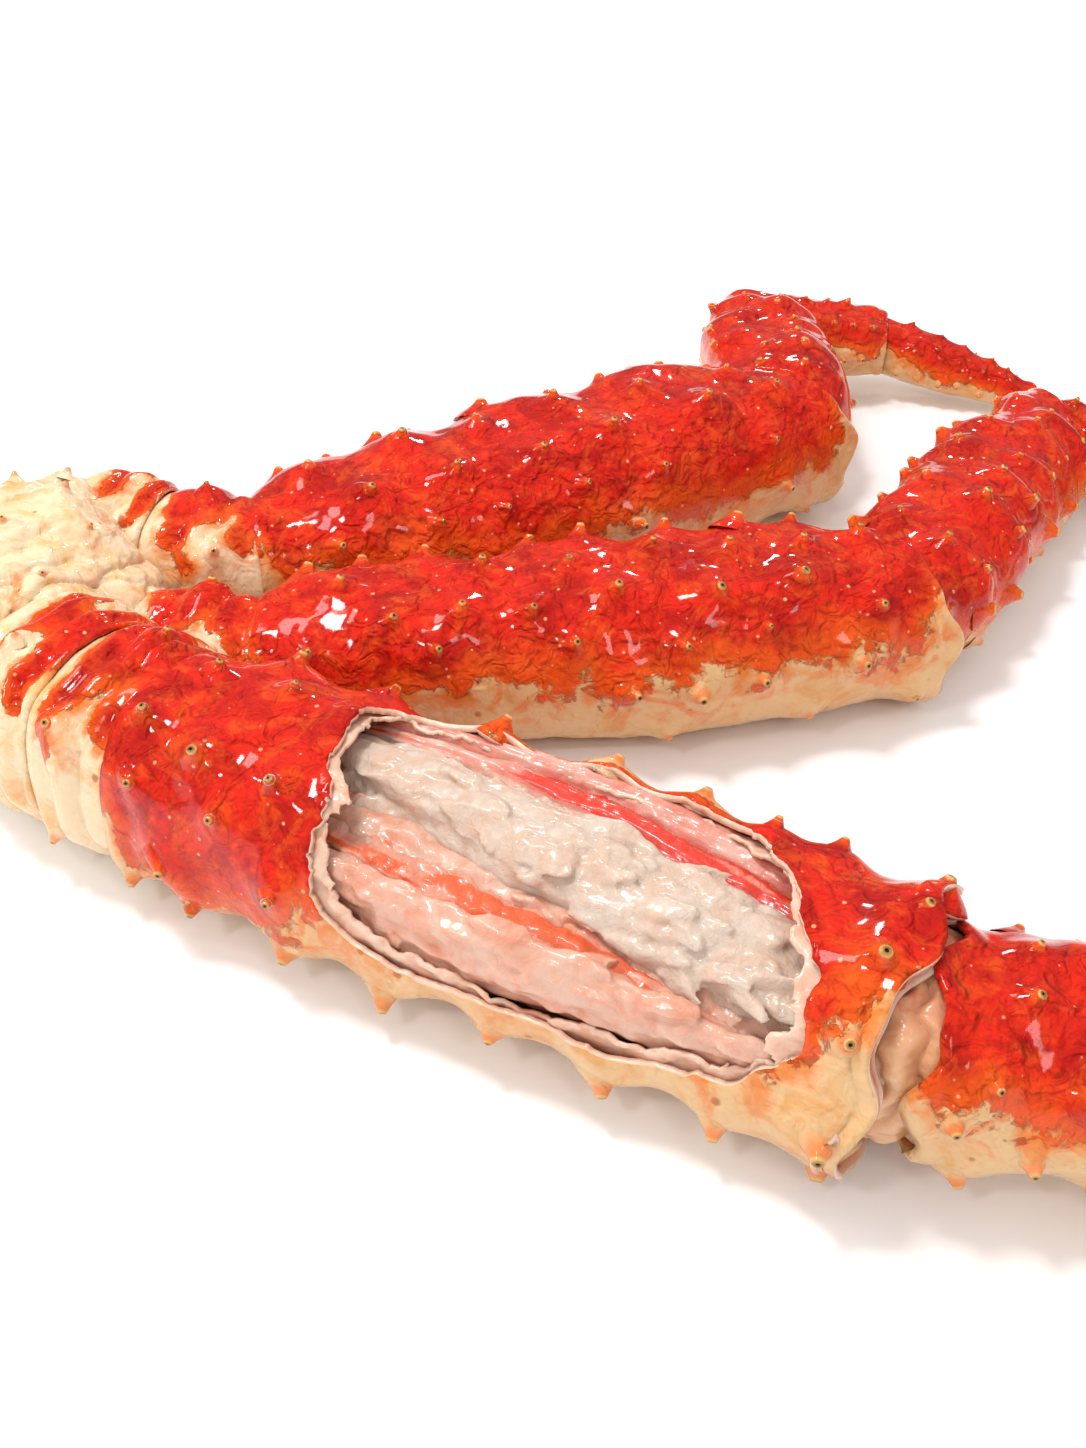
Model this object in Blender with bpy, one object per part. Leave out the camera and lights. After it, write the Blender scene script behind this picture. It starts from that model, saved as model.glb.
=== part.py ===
"""A cooked king crab section: three walking legs held together by the pale shoulder they grow from.

The front leg's long shell is torn open, so the muscles in it show. Metres, +Z up, the table is z = 0.
The origin is the flat spot under the shoulder. The legs run towards +X, and -Y is the near side.
"""

import math
import random

import bmesh
import bpy
from mathutils import Matrix, Vector

MM = 0.001
GAP = 0.3 * MM  # between pieces that touch in the real leg
ROOM = 1.0 * MM  # round the legs where the shoulder is pressed round them
WALL = 2.0 * MM  # thickness of the opened shell
SQUARENESS = 2.3  # shell sections are ellipses drawn slightly square
LEAN_REACH = 0.3  # share of a segment over which its sections lean over to a bent joint
ELBOW_PULL = 0.22  # how much a bent joint's outer corner is drawn in, for each unit of its slant
SPINE_FOOT = 0.27  # width that a spine's foot leaves free on each side of its face
BUTT_LIP = 1.2 * MM  # how far a segment's shell rises beside its cap
CAP_SIZE = 0.84  # a cap's size in its section

# Where each leg leaves the shoulder: x, y and height, in millimetres.
LEG_START = {"front": (7.0, -34.0, 24.0), "mid": (27.0, -14.0, 20.0), "back": (5.0, 29.0, 22.0)}

# Each segment: name, length, heading in plan in degrees, height of its far joint,
# and its near, belly and far half widths and half heights. Millimetres.
LEGS = {
    "front": [
        ("basis", 23.0, -37.0, 24.5, (20.0, 23.5, 21.5), (21.0, 23.5, 22.0)),
        ("ischium", 20.0, -31.0, 24.5, (21.5, 23.5, 21.0), (21.5, 23.0, 21.0)),
        ("merus", 158.0, -27.3, 25.3, (22.5, 25.6, 22.7), (22.0, 22.2, 20.2)),
        ("carpus", 92.0, -13.0, 16.5, (20.0, 15.2, 14.0), (19.2, 14.6, 12.8)),
        ("propodus", 78.0, -52.0, 12.5, (13.5, 14.5, 10.0), (12.0, 13.0, 9.0)),
        ("dactyl", 64.0, -80.0, 4.0, (9.5, 8.0, 1.2), (8.5, 7.4, 1.2)),
    ],
    "mid": [
        ("ischium", 29.0, -14.0, 19.5, (11.0, 13.0, 13.5), (14.0, 15.5, 15.0)),
        ("merus", 151.0, 7.5, 20.0, (14.5, 23.5, 21.0), (15.5, 20.2, 18.8)),
        ("carpus", 116.0, 58.8, 15.5, (17.0, 16.5, 13.0), (16.0, 16.5, 12.5)),
        ("propodus", 76.0, -25.0, 12.0, (10.0, 10.5, 8.5), (9.3, 10.0, 8.0)),
        ("dactyl", 60.0, -62.0, 4.0, (8.5, 7.2, 1.2), (7.5, 6.6, 1.2)),
    ],
    "back": [
        ("basis", 20.0, -20.0, 20.5, (17.0, 18.5, 17.0), (17.0, 18.5, 16.5)),
        ("ischium", 25.0, -4.0, 19.5, (16.5, 17.5, 16.5), (16.0, 17.0, 15.5)),
        ("merus", 154.0, 23.5, 22.0, (16.5, 24.5, 20.5), (16.5, 22.0, 19.0)),
        ("carpus", 69.0, 94.0, 21.0, (15.5, 16.0, 15.0), (16.0, 15.5, 14.5)),
        ("propodus", 45.0, 6.0, 15.0, (11.5, 12.0, 9.5), (10.5, 11.0, 8.5)),
        ("dactyl", 56.0, -22.0, 4.0, (8.8, 7.2, 1.2), (8.0, 6.8, 1.2)),
    ],
}

# Faces round each kind of segment, and the length of its rings of faces in millimetres.
AROUND = {"basis": 14, "ischium": 14, "merus": 16, "carpus": 14, "propodus": 12, "dactyl": 10}
RING = {"basis": 8.0, "ischium": 8.0, "merus": 12.0, "carpus": 11.0, "propodus": 11.0, "dactyl": 9.0}

# Rows of spines on the long shells: angle round the section in degrees (0 is the near side, 90 the top), height
# in millimetres, and t of each spine.
LONG_ROWS = {
    "front": [
        (140, 4.6, (0.12, 0.25, 0.42, 0.57, 0.69, 0.79, 0.87)),
        (100, 3.6, (0.06, 0.17, 0.26)),
        (62, 4.6, (0.03, 0.13, 0.24)),
        (35, 3.2, (0.05, 0.18)),
        (2, 4.6, (0.10, 0.27)),
        (330, 6.2, (0.02, 0.13, 0.27, 0.41, 0.56, 0.70, 0.83)),
        (200, 3.6, (0.15, 0.35, 0.55, 0.75, 0.92)),
        (318, 7.0, (0.965,)),
        (358, 6.6, (0.945,)),
        (40, 5.6, (0.96,)),
        (72, 5.4, (0.965,)),
        (106, 5.2, (0.96,)),
    ],
    "mid": [
        (132, 4.6, (0.06, 0.15, 0.25, 0.42, 0.50, 0.64, 0.76, 0.87)),
        (98, 3.8, (0.12, 0.34, 0.47, 0.60, 0.72, 0.84, 0.95)),
        (66, 4.2, (0.20, 0.30, 0.40, 0.53, 0.68, 0.80)),
        (38, 3.2, (0.08, 0.26, 0.46, 0.62, 0.74, 0.90)),
        (10, 5.0, (0.54, 0.64, 0.73, 0.86)),
        (335, 3.6, (0.30, 0.60, 0.80, 0.96)),
        (195, 3.8, (0.10, 0.30, 0.50, 0.70, 0.90)),
    ],
    "back": [
        (138, 4.8, (0.05, 0.14, 0.24, 0.31, 0.44, 0.51, 0.57, 0.67, 0.74, 0.82, 0.88, 0.95)),
        (104, 3.8, (0.10, 0.27, 0.40, 0.55, 0.70, 0.90)),
        (70, 3.8, (0.18, 0.32, 0.47, 0.60, 0.78, 0.92)),
        (38, 3.4, (0.12, 0.27, 0.38, 0.52, 0.66, 0.85)),
        (5, 4.4, (0.24, 0.36, 0.60, 0.86)),
        (330, 3.6, (0.45, 0.70, 0.93)),
        (195, 3.8, (0.10, 0.30, 0.50, 0.70, 0.90)),
    ],
}
# Rows on the other shells: angle, count and height.
SHORT_ROWS = {
    "basis": [],
    "ischium": [(35, 1, 4.0), (115, 1, 4.5)],
    "carpus": [(150, 6, 4.6), (112, 4, 3.6), (75, 5, 3.8), (38, 4, 3.8), (4, 6, 4.8), (328, 4, 4.4), (195, 4, 4.2)],
    "propodus": [(150, 4, 3.0), (95, 3, 2.4), (45, 3, 2.4), (0, 4, 2.8), (200, 3, 2.6)],
    "dactyl": [(110, 3, 1.5), (50, 3, 1.3), (350, 3, 1.6)],
}
SPINE_JITTER = 0.25  # of the spacing along a row
SPINE_TURN = 7.0  # degrees either way round the section
SPINE_SIZES = (0.7, 1.2)  # shares of a row's height

# The opening torn in the front merus: shares of its length, and degrees round it.
OPENING_START, OPENING_END = 0.31, 0.90
OPENING_NEAR, OPENING_FAR = -10.0, 132.0
OPENING_LEAN = 0.00125  # how far it lies back on its far side: a share of the length for each degree
RAGGED = 1.5 * MM  # how far the torn edge wanders
OPENED_AROUND = 24

# Muscles in the opened shell: middle, and half width and half height, as shares of the hollow's own.
MUSCLES = {
    "white_muscle": ((0.05, 0.02), (0.50, 0.88)),
    "skinned_muscle": ((-0.70, 0.0), (0.19, 0.58)),
    "near_muscle": ((0.76, -0.04), (0.16, 0.54)),
}
MUSCLE_START, MUSCLE_END = 0.03, 0.94
MUSCLE_TAPER = 0.28  # how much thinner its ends are
MUSCLE_ROWS, MUSCLE_AROUND = 12, 14

# The front knee: wrinkled skin that reaches from inside the merus to inside the carpus.
KNEE_SHOWS = 7.0 * MM
KNEE_REACH = 5.0 * MM
KNEE_SIZE = 0.80  # of the sections on each side
KNEE_FOLDS, KNEE_FOLD_DEPTH = 4, 0.05
SOCKET_SIZE = 0.89  # of the carpus's section

# The shoulder is balls that melt into one lump. Each: centre and radius, in millimetres.
SHOULDER_CENTRE = (-4.0, 0.0, 23.0)
SHOULDER_BALLS = [
    ((-3, 0, 24), 26.5), ((-22, 8, 22), 19.0), ((-22, -12, 23), 20.0), ((1, -27, 24), 24.0),
    ((16, -8, 21), 17.0), ((-4, 25, 20), 18.5), ((-6, -14, 36), 11.0), ((4, 22, 28), 10.0), ((-18, 17, 27), 11.0),
]
SHOULDER_MELT = 3.0 * MM
SHOULDER_REACH = 80.0 * MM
# Knobs on it: degrees round in plan, degrees up, and height in millimetres.
KNOBS = [
    (35, 62, 4.0), (75, 38, 4.5), (100, 55, 4.0), (140, 40, 4.5), (165, 66, 4.0), (195, 38, 4.0), (225, 60, 4.5),
    (258, 46, 4.0), (285, 72, 3.5), (300, 42, 3.0), (355, 50, 3.0), (120, 18, 4.0), (178, 10, 4.0), (232, 14, 4.0),
]
KNOB_SPREAD = math.radians(10)

COLOURS = {
    "shell": ((0.62, 0.045, 0.012), 0.3),
    "pale_shell": ((0.80, 0.60, 0.40), 0.35),
    "joint_skin": ((0.78, 0.52, 0.42), 0.4),
    "white_meat": ((0.86, 0.76, 0.62), 0.45),
    "red_skinned_meat": ((0.72, 0.16, 0.07), 0.35),
}


def clear_scene():
    for obj in list(bpy.data.objects):
        bpy.data.objects.remove(obj)


def material(name):
    found = bpy.data.materials.get(name)
    if found:
        return found
    colour, roughness = COLOURS[name]
    made = bpy.data.materials.new(name)
    made.use_nodes = True
    shader = made.node_tree.nodes["Principled BSDF"]
    shader.inputs["Base Color"].default_value = (*colour, 1.0)
    shader.inputs["Roughness"].default_value = roughness
    shader.inputs["Metallic"].default_value = 0.0
    return made


def to_object(bm, name, look):
    """Turns the bmesh into a named object. What would dip below the table is pressed flat."""
    for vert in bm.verts:
        vert.co.z = max(vert.co.z, 0.0)
    bmesh.ops.recalc_face_normals(bm, faces=bm.faces)
    mesh = bpy.data.meshes.new(name)
    bm.to_mesh(mesh)
    bm.free()
    mesh.shade_smooth()
    mesh.set_sharp_from_angle(angle=math.radians(40))
    mesh.materials.append(material(look))
    obj = bpy.data.objects.new(name, mesh)
    bpy.context.scene.collection.objects.link(obj)
    return obj


def through(values, t):
    """A smooth run through the near, belly and far values, met at t = 0, 0.5 and 1."""
    near, belly, far = values
    return near * (1 - t) * (1 - 2 * t) + belly * 4 * t * (1 - t) + far * t * (2 * t - 1)


def section_point(angle):
    """A point of the unit section: a circle drawn slightly square."""
    c, s = math.cos(angle), math.sin(angle)
    power = 2 / SQUARENESS
    return Vector((math.copysign(abs(c) ** power, c), math.copysign(abs(s) ** power, s), 0))


def heading_of(spec):
    turn = math.radians(spec[2])
    return Vector((math.cos(turn), math.sin(turn), 0))


class Segment:
    """One shell of a leg: a straight run between two joints. Its end sections lie in the planes that it shares
    with its neighbours, so that bent neighbours never cross."""

    def __init__(self, leg, spec, start, before, after):
        self.leg = leg
        self.kind, length, _, end_height, widths, heights = spec
        self.name = f"{leg}_{self.kind}"
        self.length = length * MM
        self.start = start
        heading = heading_of(spec)
        rise = end_height * MM - start.z
        self.axis = (heading * math.sqrt(self.length**2 - rise**2) + Vector((0, 0, rise))).normalized()
        self.end = start + self.axis * self.length
        self.side = self.axis.cross(Vector((0, 0, 1))).normalized()
        self.up = self.side.cross(self.axis)
        self.widths = [width * MM for width in widths]
        self.heights = [height * MM for height in heights]
        self.heading = heading
        self.first_plane = (heading + before).normalized()
        self.last_plane = (heading + after).normalized()

    def plane(self, t):
        """The normal of the section at t, which turns to the shared plane near each end."""
        if t < 0.5:
            return self.first_plane.lerp(self.axis, min(1, t / LEAN_REACH))
        return self.last_plane.lerp(self.axis, min(1, (1 - t) / LEAN_REACH))

    def frame(self, t, grow=0.0):
        """Carries the unit section to the shell's section at t."""
        normal = self.plane(t)
        slant = normal.dot(self.side) / normal.dot(self.axis)
        across = self.side - self.axis * slant
        upward = self.up - self.axis * (normal.dot(self.up) / normal.dot(self.axis))
        inner = slant if t > 0.5 else -slant
        wide = through(self.widths, t)
        centre = self.start + self.axis * self.length * t + across * inner * ELBOW_PULL * wide
        wide = wide * (1 - abs(slant) * ELBOW_PULL) + grow
        columns = (across * wide, upward * (through(self.heights, t) + grow), self.axis)
        return Matrix.Translation(centre) @ Matrix(columns).transposed().to_4x4()

    def point(self, t, degrees):
        return self.frame(t) @ section_point(math.radians(degrees))

    def place(self, point):
        """t and degrees of a point near the shell."""
        t = (point - self.start).dot(self.axis) / self.length
        for _ in range(3):
            t += (self.frame(t).inverted() @ point).z / self.length
        local = self.frame(t).inverted() @ point
        x, y = (math.copysign(abs(value) ** (SQUARENESS / 2), value) for value in local.xy)
        return t, math.degrees(math.atan2(y, x))

    def holds(self, point):
        """Whether the point stays on the segment's side of both shared planes."""
        after_start = (point - self.start).dot(self.first_plane) > ROOM
        return after_start and (point - self.end).dot(self.last_plane) < -ROOM

    def steps(self, first, last):
        """Values of t from first to last, about a ring's length apart."""
        count = max(2, round(self.length * (last - first) / (RING[self.kind] * MM)))
        return [first + (last - first) * i / count for i in range(count + 1)]


def segments_of(leg):
    made, start = [], Vector(LEG_START[leg]) * MM
    headings = [heading_of(spec) for spec in LEGS[leg]]
    before = [headings[0]] + headings[:-1]
    after = headings[1:] + [headings[-1]]
    for spec, last, following in zip(LEGS[leg], before, after):
        made.append(Segment(leg, spec, start, last, following))
        start = made[-1].end
    return made


def loft(frames, around, caps=True):
    """A skin through these sections, with flat ends unless it is left open."""
    bm = bmesh.new()
    verts = bmesh.ops.create_circle(bm, segments=around, radius=1.0)["verts"]
    for i, vert in enumerate(verts):
        vert.co = frames[0] @ section_point(2 * math.pi * i / around)
    edges = bm.edges[:]
    if caps:
        bmesh.ops.contextual_create(bm, geom=edges)
    for here, there in zip(frames, frames[1:]):
        grown = bmesh.ops.extrude_edge_only(bm, edges=edges)["geom"]
        verts = [item for item in grown if isinstance(item, bmesh.types.BMVert)]
        edges = [item for item in grown if isinstance(item, bmesh.types.BMEdge)]
        bmesh.ops.transform(bm, matrix=there @ here.inverted(), verts=verts)
    if caps:
        bmesh.ops.contextual_create(bm, geom=edges)
    bmesh.ops.recalc_face_normals(bm, faces=bm.faces)
    return bm


def spine_places(segment):
    """t, degrees and height of each spine. A segment's name seeds them."""
    draw = random.Random(segment.name)
    places = []
    if segment.kind == "merus":
        for degrees, height, shares in LONG_ROWS[segment.leg]:
            places += [(t, degrees + draw.uniform(-6, 6), height * MM * draw.uniform(0.75, 1.15)) for t in shares]
        return places
    for degrees, count, height in SHORT_ROWS[segment.kind]:
        shift = draw.uniform(0.3, 0.7)
        for i in range(count):
            t = 0.07 + 0.86 * (i + shift + draw.uniform(-SPINE_JITTER, SPINE_JITTER)) / count
            turn = degrees + draw.uniform(-SPINE_TURN, SPINE_TURN)
            places.append((t, turn, height * MM * draw.uniform(*SPINE_SIZES)))
    return places


def add_spines(bm, segment, faces):
    """Draws a pointed spine out of the free face nearest each place."""
    free = set(faces)
    for t, degrees, height in spine_places(segment):
        place = segment.point(t, degrees)
        face = min(free, key=lambda one: (one.calc_center_median() - place).length)
        tip = face.calc_center_median() + face.normal * height
        if not segment.holds(tip) or (face.calc_center_median() - place).length > RING[segment.kind] * MM:
            continue
        free.discard(face)
        width = min(edge.calc_length() for edge in face.edges)
        bmesh.ops.inset_individual(bm, faces=[face], thickness=width * SPINE_FOOT)
        bmesh.ops.poke(bm, faces=[face])["verts"][0].co = tip


def side_faces(bm, segment):
    """The shell's own four-sided faces, which look away from its axis."""
    found = []
    for face in bm.faces:
        middle = face.calc_center_median()
        foot = segment.start + segment.axis * (middle - segment.start).dot(segment.axis)
        if len(face.verts) == 4 and face.normal.dot((middle - foot).normalized()) > 0.6:
            found.append(face)
    return found


def closed_shell(segment, socket_depth=0.0):
    """A solid shell with its spines. Its caps lie back from its rims, and a socket takes the knee's skin."""
    gap, lip = GAP / segment.length, BUTT_LIP / segment.length
    first = gap + (KNEE_SHOWS / 2 / segment.length if socket_depth else 0)
    rings = [segment.frame(t) for t in segment.steps(first, 1 - gap)]
    small = Matrix.Diagonal((CAP_SIZE, CAP_SIZE, 1, 1))
    if socket_depth:
        mouth = rings[0] @ Matrix.Diagonal((SOCKET_SIZE, SOCKET_SIZE, 1, 1))
        floor = Matrix.Translation(segment.axis * socket_depth) @ mouth
        rings = [floor, mouth] + rings
    else:
        rings = [segment.frame(first + lip) @ small] + rings
    rings.append(segment.frame(1 - gap - lip) @ small)
    bm = loft(rings, AROUND[segment.kind])
    add_spines(bm, segment, side_faces(bm, segment))
    return bm


def lean_of(t, degrees):
    """How far the opened stretch is drawn back, as a share of the length."""
    middle = (OPENING_NEAR + OPENING_FAR) / 2
    beyond = min(max(degrees - middle, 0), OPENING_FAR - middle, max(270 - degrees, 0))
    return OPENING_LEAN * beyond * min(1, t / OPENING_START, (1 - t) / (1 - OPENING_END))


def in_opening(segment, point, margin=0.0, turn=0.0):
    t, degrees = segment.place(point)
    t += lean_of(t, degrees)
    along = OPENING_START - margin < t < OPENING_END + margin
    return along and OPENING_NEAR - turn < degrees < OPENING_FAR + turn


def opened_shell(segment):
    """The front merus: a thin tube with a torn opening along its top and near side."""
    gap, lip = GAP / segment.length, KNEE_SHOWS / 2 / segment.length
    stretches = [(gap, OPENING_START), (OPENING_START, OPENING_END), (OPENING_END, 1 - lip)]
    ts = sorted({round(t, 5) for first, last in stretches for t in segment.steps(first, last)})
    bm = loft([segment.frame(t) for t in ts], OPENED_AROUND, caps=False)
    if bm.faces[:][0].normal.dot(bm.faces[:][0].calc_center_median() - segment.start) < 0:
        bmesh.ops.reverse_faces(bm, faces=bm.faces)
    for vert in bm.verts:
        t, degrees = segment.place(vert.co)
        vert.co -= segment.axis * segment.length * lean_of(t, degrees % 360)
    gone = [face for face in bm.faces if in_opening(segment, face.calc_center_median())]
    bmesh.ops.delete(bm, geom=gone, context="FACES")
    tear(bm, segment)
    skin = bm.faces[:]
    bmesh.ops.solidify(bm, geom=skin, thickness=WALL)
    bmesh.ops.recalc_face_normals(bm, faces=bm.faces)
    outer = [face for face in side_faces(bm, segment)
             if not in_opening(segment, face.calc_center_median(), 0.04, 12)]
    add_spines(bm, segment, outer)
    return bm


def tear(bm, segment):
    """Moves the opening's edge in and out."""
    draw = random.Random(segment.name)
    middle = segment.point((OPENING_START + OPENING_END) / 2, (OPENING_NEAR + OPENING_FAR) / 2)
    for vert in bm.verts:
        if vert.is_boundary and in_opening(segment, vert.co, 0.03, 12):
            vert.co += (middle - vert.co).normalized() * draw.uniform(-RAGGED, RAGGED)


def muscle(segment, middle, half):
    """A bundle that tapers to both ends of the opened shell."""
    frames = []
    for i in range(MUSCLE_ROWS + 1):
        share = i / MUSCLE_ROWS
        swell = 1 - MUSCLE_TAPER * (1 - math.sin(math.pi * share)) ** 2
        hollow = segment.frame(MUSCLE_START + (MUSCLE_END - MUSCLE_START) * share, -WALL - GAP)
        size = Matrix.Diagonal((half[0] * swell, half[1] * swell, 1, 1))
        frames.append(hollow @ Matrix.Translation((*middle, 0)) @ size)
    return loft(frames, MUSCLE_AROUND)


def knee_skin(merus, carpus):
    """A bellows from inside the merus to inside the carpus."""
    reach = KNEE_SHOWS / 2 + KNEE_REACH
    count = 4 * KNEE_FOLDS
    frames = []
    for i in range(count + 1):
        along = (2 * i / count - 1) * reach
        segment, t = (merus, 1.0) if along < 0 else (carpus, 0.0)
        size = KNEE_SIZE * (1 + KNEE_FOLD_DEPTH * math.cos(2 * math.pi * KNEE_FOLDS * i / count))
        shift = Matrix.Translation(segment.axis * along)
        frames.append(shift @ segment.frame(t) @ Matrix.Diagonal((size, size, 1, 1)))
    return loft(frames, AROUND["merus"])


def melted_distance(point):
    """Distance to the shoulder's lump, negative inside it."""
    total = 0.0
    for centre, radius in SHOULDER_BALLS:
        away = (point - Vector(centre) * MM).length - radius * MM
        total += math.exp(-away / SHOULDER_MELT)
    return -SHOULDER_MELT * math.log(total)


def knobs(direction):
    height = 0.0
    for around, up, knob_height in KNOBS:
        a, e = math.radians(around), math.radians(up)
        knob = Vector((math.cos(a) * math.cos(e), math.sin(a) * math.cos(e), math.sin(e)))
        height += knob_height * MM * math.exp(-((direction.angle(knob) / KNOB_SPREAD) ** 2))
    return height


def shoulder(name):
    """Each point of a ball is moved along its own ray to the lump's surface."""
    bm = bmesh.new()
    bmesh.ops.create_icosphere(bm, subdivisions=3, radius=1.0)
    centre = Vector(SHOULDER_CENTRE) * MM
    for vert in bm.verts:
        ray = vert.co.normalized()
        inside, outside = 0.0, SHOULDER_REACH
        for _ in range(24):
            middle = (inside + outside) / 2
            if melted_distance(centre + ray * middle) < 0:
                inside = middle
            else:
                outside = middle
        vert.co = centre + ray * (inside + knobs(ray))
    return to_object(bm, name, "pale_shell")


def cutter_of(segment):
    """The segment's plain shape, a little larger, which cuts its room out of a neighbour."""
    rings = [segment.frame(t, ROOM) for t in segment.steps(-ROOM / segment.length, 1.0)]
    cutter = to_object(loft(rings, AROUND[segment.kind]), f"cut_by_{segment.name}", "pale_shell")
    cutter.hide_render = True
    cutter.display_type = "WIRE"
    return cutter


def make_room(obj, cutters):
    for cutter in cutters:
        cut = obj.modifiers.new(cutter.name, "BOOLEAN")
        cut.operation = "DIFFERENCE"
        cut.object = cutter


def main():
    clear_scene()
    legs = {leg: segments_of(leg) for leg in LEGS}
    front_merus, front_carpus = legs["front"][2], legs["front"][3]
    for segments in legs.values():
        for segment in segments:
            look = "pale_shell" if segment.kind == "basis" else "shell"
            if segment is front_merus:
                to_object(opened_shell(segment), segment.name, look)
            else:
                socket = KNEE_REACH + 2 * GAP if segment is front_carpus else 0.0
                to_object(closed_shell(segment, socket), segment.name, look)
    to_object(knee_skin(front_merus, front_carpus), "front_knee_skin", "joint_skin")
    for name, (middle, half) in MUSCLES.items():
        look = "red_skinned_meat" if name == "skinned_muscle" else "white_meat"
        to_object(muscle(front_merus, middle, half), f"front_{name}", look)
    front_cutters = [cutter_of(segment) for segment in legs["front"][:2]]
    other_cutters = [cutter_of(segment) for segment in (legs["mid"][0], *legs["back"][:2])]
    make_room(bpy.data.objects["mid_ischium"], front_cutters)
    make_room(shoulder("shoulder"), front_cutters + other_cutters)


main()
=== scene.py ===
# %% [markdown]
# # A king crab leg cluster
# Three cooked legs hold together at the pale shoulder that they grow from. The front leg's long
# shell is torn open, so its meat shows. This lesson dresses a plain frame of closed solids, one
# for each shell, with fine skins, spines, meat and wet materials.

# %% Load the frame
import math
import random

import bmesh
import bpy
import numpy as np
from mathutils import Matrix, Vector, noise


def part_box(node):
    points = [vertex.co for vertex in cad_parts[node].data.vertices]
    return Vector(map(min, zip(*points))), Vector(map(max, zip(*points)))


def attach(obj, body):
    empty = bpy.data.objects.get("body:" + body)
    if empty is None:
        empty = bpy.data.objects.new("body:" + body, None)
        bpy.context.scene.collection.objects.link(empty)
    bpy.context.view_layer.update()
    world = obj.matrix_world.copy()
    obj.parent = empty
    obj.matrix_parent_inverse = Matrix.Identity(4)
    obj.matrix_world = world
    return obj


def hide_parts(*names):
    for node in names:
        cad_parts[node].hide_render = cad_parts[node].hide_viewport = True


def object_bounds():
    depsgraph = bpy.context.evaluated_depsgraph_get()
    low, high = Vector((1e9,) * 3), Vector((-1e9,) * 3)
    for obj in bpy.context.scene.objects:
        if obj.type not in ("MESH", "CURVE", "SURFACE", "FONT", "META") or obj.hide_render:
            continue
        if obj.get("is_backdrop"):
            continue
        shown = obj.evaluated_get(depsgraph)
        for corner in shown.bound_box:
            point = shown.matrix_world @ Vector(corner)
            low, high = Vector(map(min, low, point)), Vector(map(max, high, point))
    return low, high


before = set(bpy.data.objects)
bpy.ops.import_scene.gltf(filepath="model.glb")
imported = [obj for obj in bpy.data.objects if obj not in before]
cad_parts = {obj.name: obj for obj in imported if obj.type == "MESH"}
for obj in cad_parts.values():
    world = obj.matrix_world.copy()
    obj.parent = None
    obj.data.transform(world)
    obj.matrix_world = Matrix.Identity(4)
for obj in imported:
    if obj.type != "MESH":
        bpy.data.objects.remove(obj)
cad_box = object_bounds()
MM = 0.001
print("frame nodes:", len(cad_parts))

# %% [markdown]
# ## The legs' layout
# A crab's leg is a row of stiff shells. Each shell is a straight run between two joints, so a leg
# needs only a start, and a length, a heading and some half widths and half heights for each
# shell. These are the frame's own driving sizes. From the shoulder outwards the shells are called
# basis, ischium, merus, carpus, propodus, dactyl.

# %% The legs' driving sizes
LEG_START = {"front": (7.0, -34.0, 24.0), "mid": (27.0, -14.0, 20.0), "back": (5.0, 29.0, 22.0)}

# Name, length, heading in plan in degrees, height of the far joint, then near, belly and far half
# widths and half heights. Millimetres.
LEGS = {
    "front": [
        ("basis", 23.0, -37.0, 24.5, (20.0, 23.5, 21.5), (21.0, 23.5, 22.0)),
        ("ischium", 20.0, -31.0, 24.5, (21.5, 23.5, 21.0), (21.5, 23.0, 21.0)),
        ("merus", 158.0, -27.3, 25.3, (22.5, 25.6, 22.7), (22.0, 22.2, 20.2)),
        ("carpus", 92.0, -13.0, 16.5, (20.0, 15.2, 14.0), (19.2, 14.6, 12.8)),
        ("propodus", 78.0, -52.0, 12.5, (13.5, 14.5, 10.0), (12.0, 13.0, 9.0)),
        ("dactyl", 64.0, -80.0, 4.0, (9.5, 8.0, 1.2), (8.5, 7.4, 1.2)),
    ],
    "mid": [
        ("ischium", 29.0, -14.0, 19.5, (11.0, 13.0, 13.5), (14.0, 15.5, 15.0)),
        ("merus", 151.0, 7.5, 20.0, (14.5, 23.5, 21.0), (15.5, 20.2, 18.8)),
        ("carpus", 116.0, 58.8, 15.5, (17.0, 16.5, 13.0), (16.0, 16.5, 12.5)),
        ("propodus", 76.0, -25.0, 12.0, (10.0, 10.5, 8.5), (9.3, 10.0, 8.0)),
        ("dactyl", 60.0, -62.0, 4.0, (8.5, 7.2, 1.2), (7.5, 6.6, 1.2)),
    ],
    "back": [
        ("basis", 20.0, -20.0, 20.5, (17.0, 18.5, 17.0), (17.0, 18.5, 16.5)),
        ("ischium", 25.0, -4.0, 19.5, (16.5, 17.5, 16.5), (16.0, 17.0, 15.5)),
        ("merus", 154.0, 23.5, 22.0, (16.5, 24.5, 20.5), (16.5, 22.0, 19.0)),
        ("carpus", 69.0, 94.0, 21.0, (15.5, 16.0, 15.0), (16.0, 15.5, 14.5)),
        ("propodus", 45.0, 6.0, 15.0, (11.5, 12.0, 9.5), (10.5, 11.0, 8.5)),
        ("dactyl", 56.0, -22.0, 4.0, (8.8, 7.2, 1.2), (8.0, 6.8, 1.2)),
    ],
}
SQUARENESS = 2.3
LEAN_REACH = 0.3
ELBOW_PULL = 0.22


def through(values, t):
    """A smooth run through the near, belly and far values, met at t = 0, 0.5 and 1."""
    near, belly, far = values
    return near * (1 - t) * (1 - 2 * t) + belly * 4 * t * (1 - t) + far * t * (2 * t - 1)


def heading_of(spec):
    turn = math.radians(spec[2])
    return np.array([math.cos(turn), math.sin(turn), 0.0])


def unit(vectors):
    return vectors / np.linalg.norm(vectors, axis=-1, keepdims=True)


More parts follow.
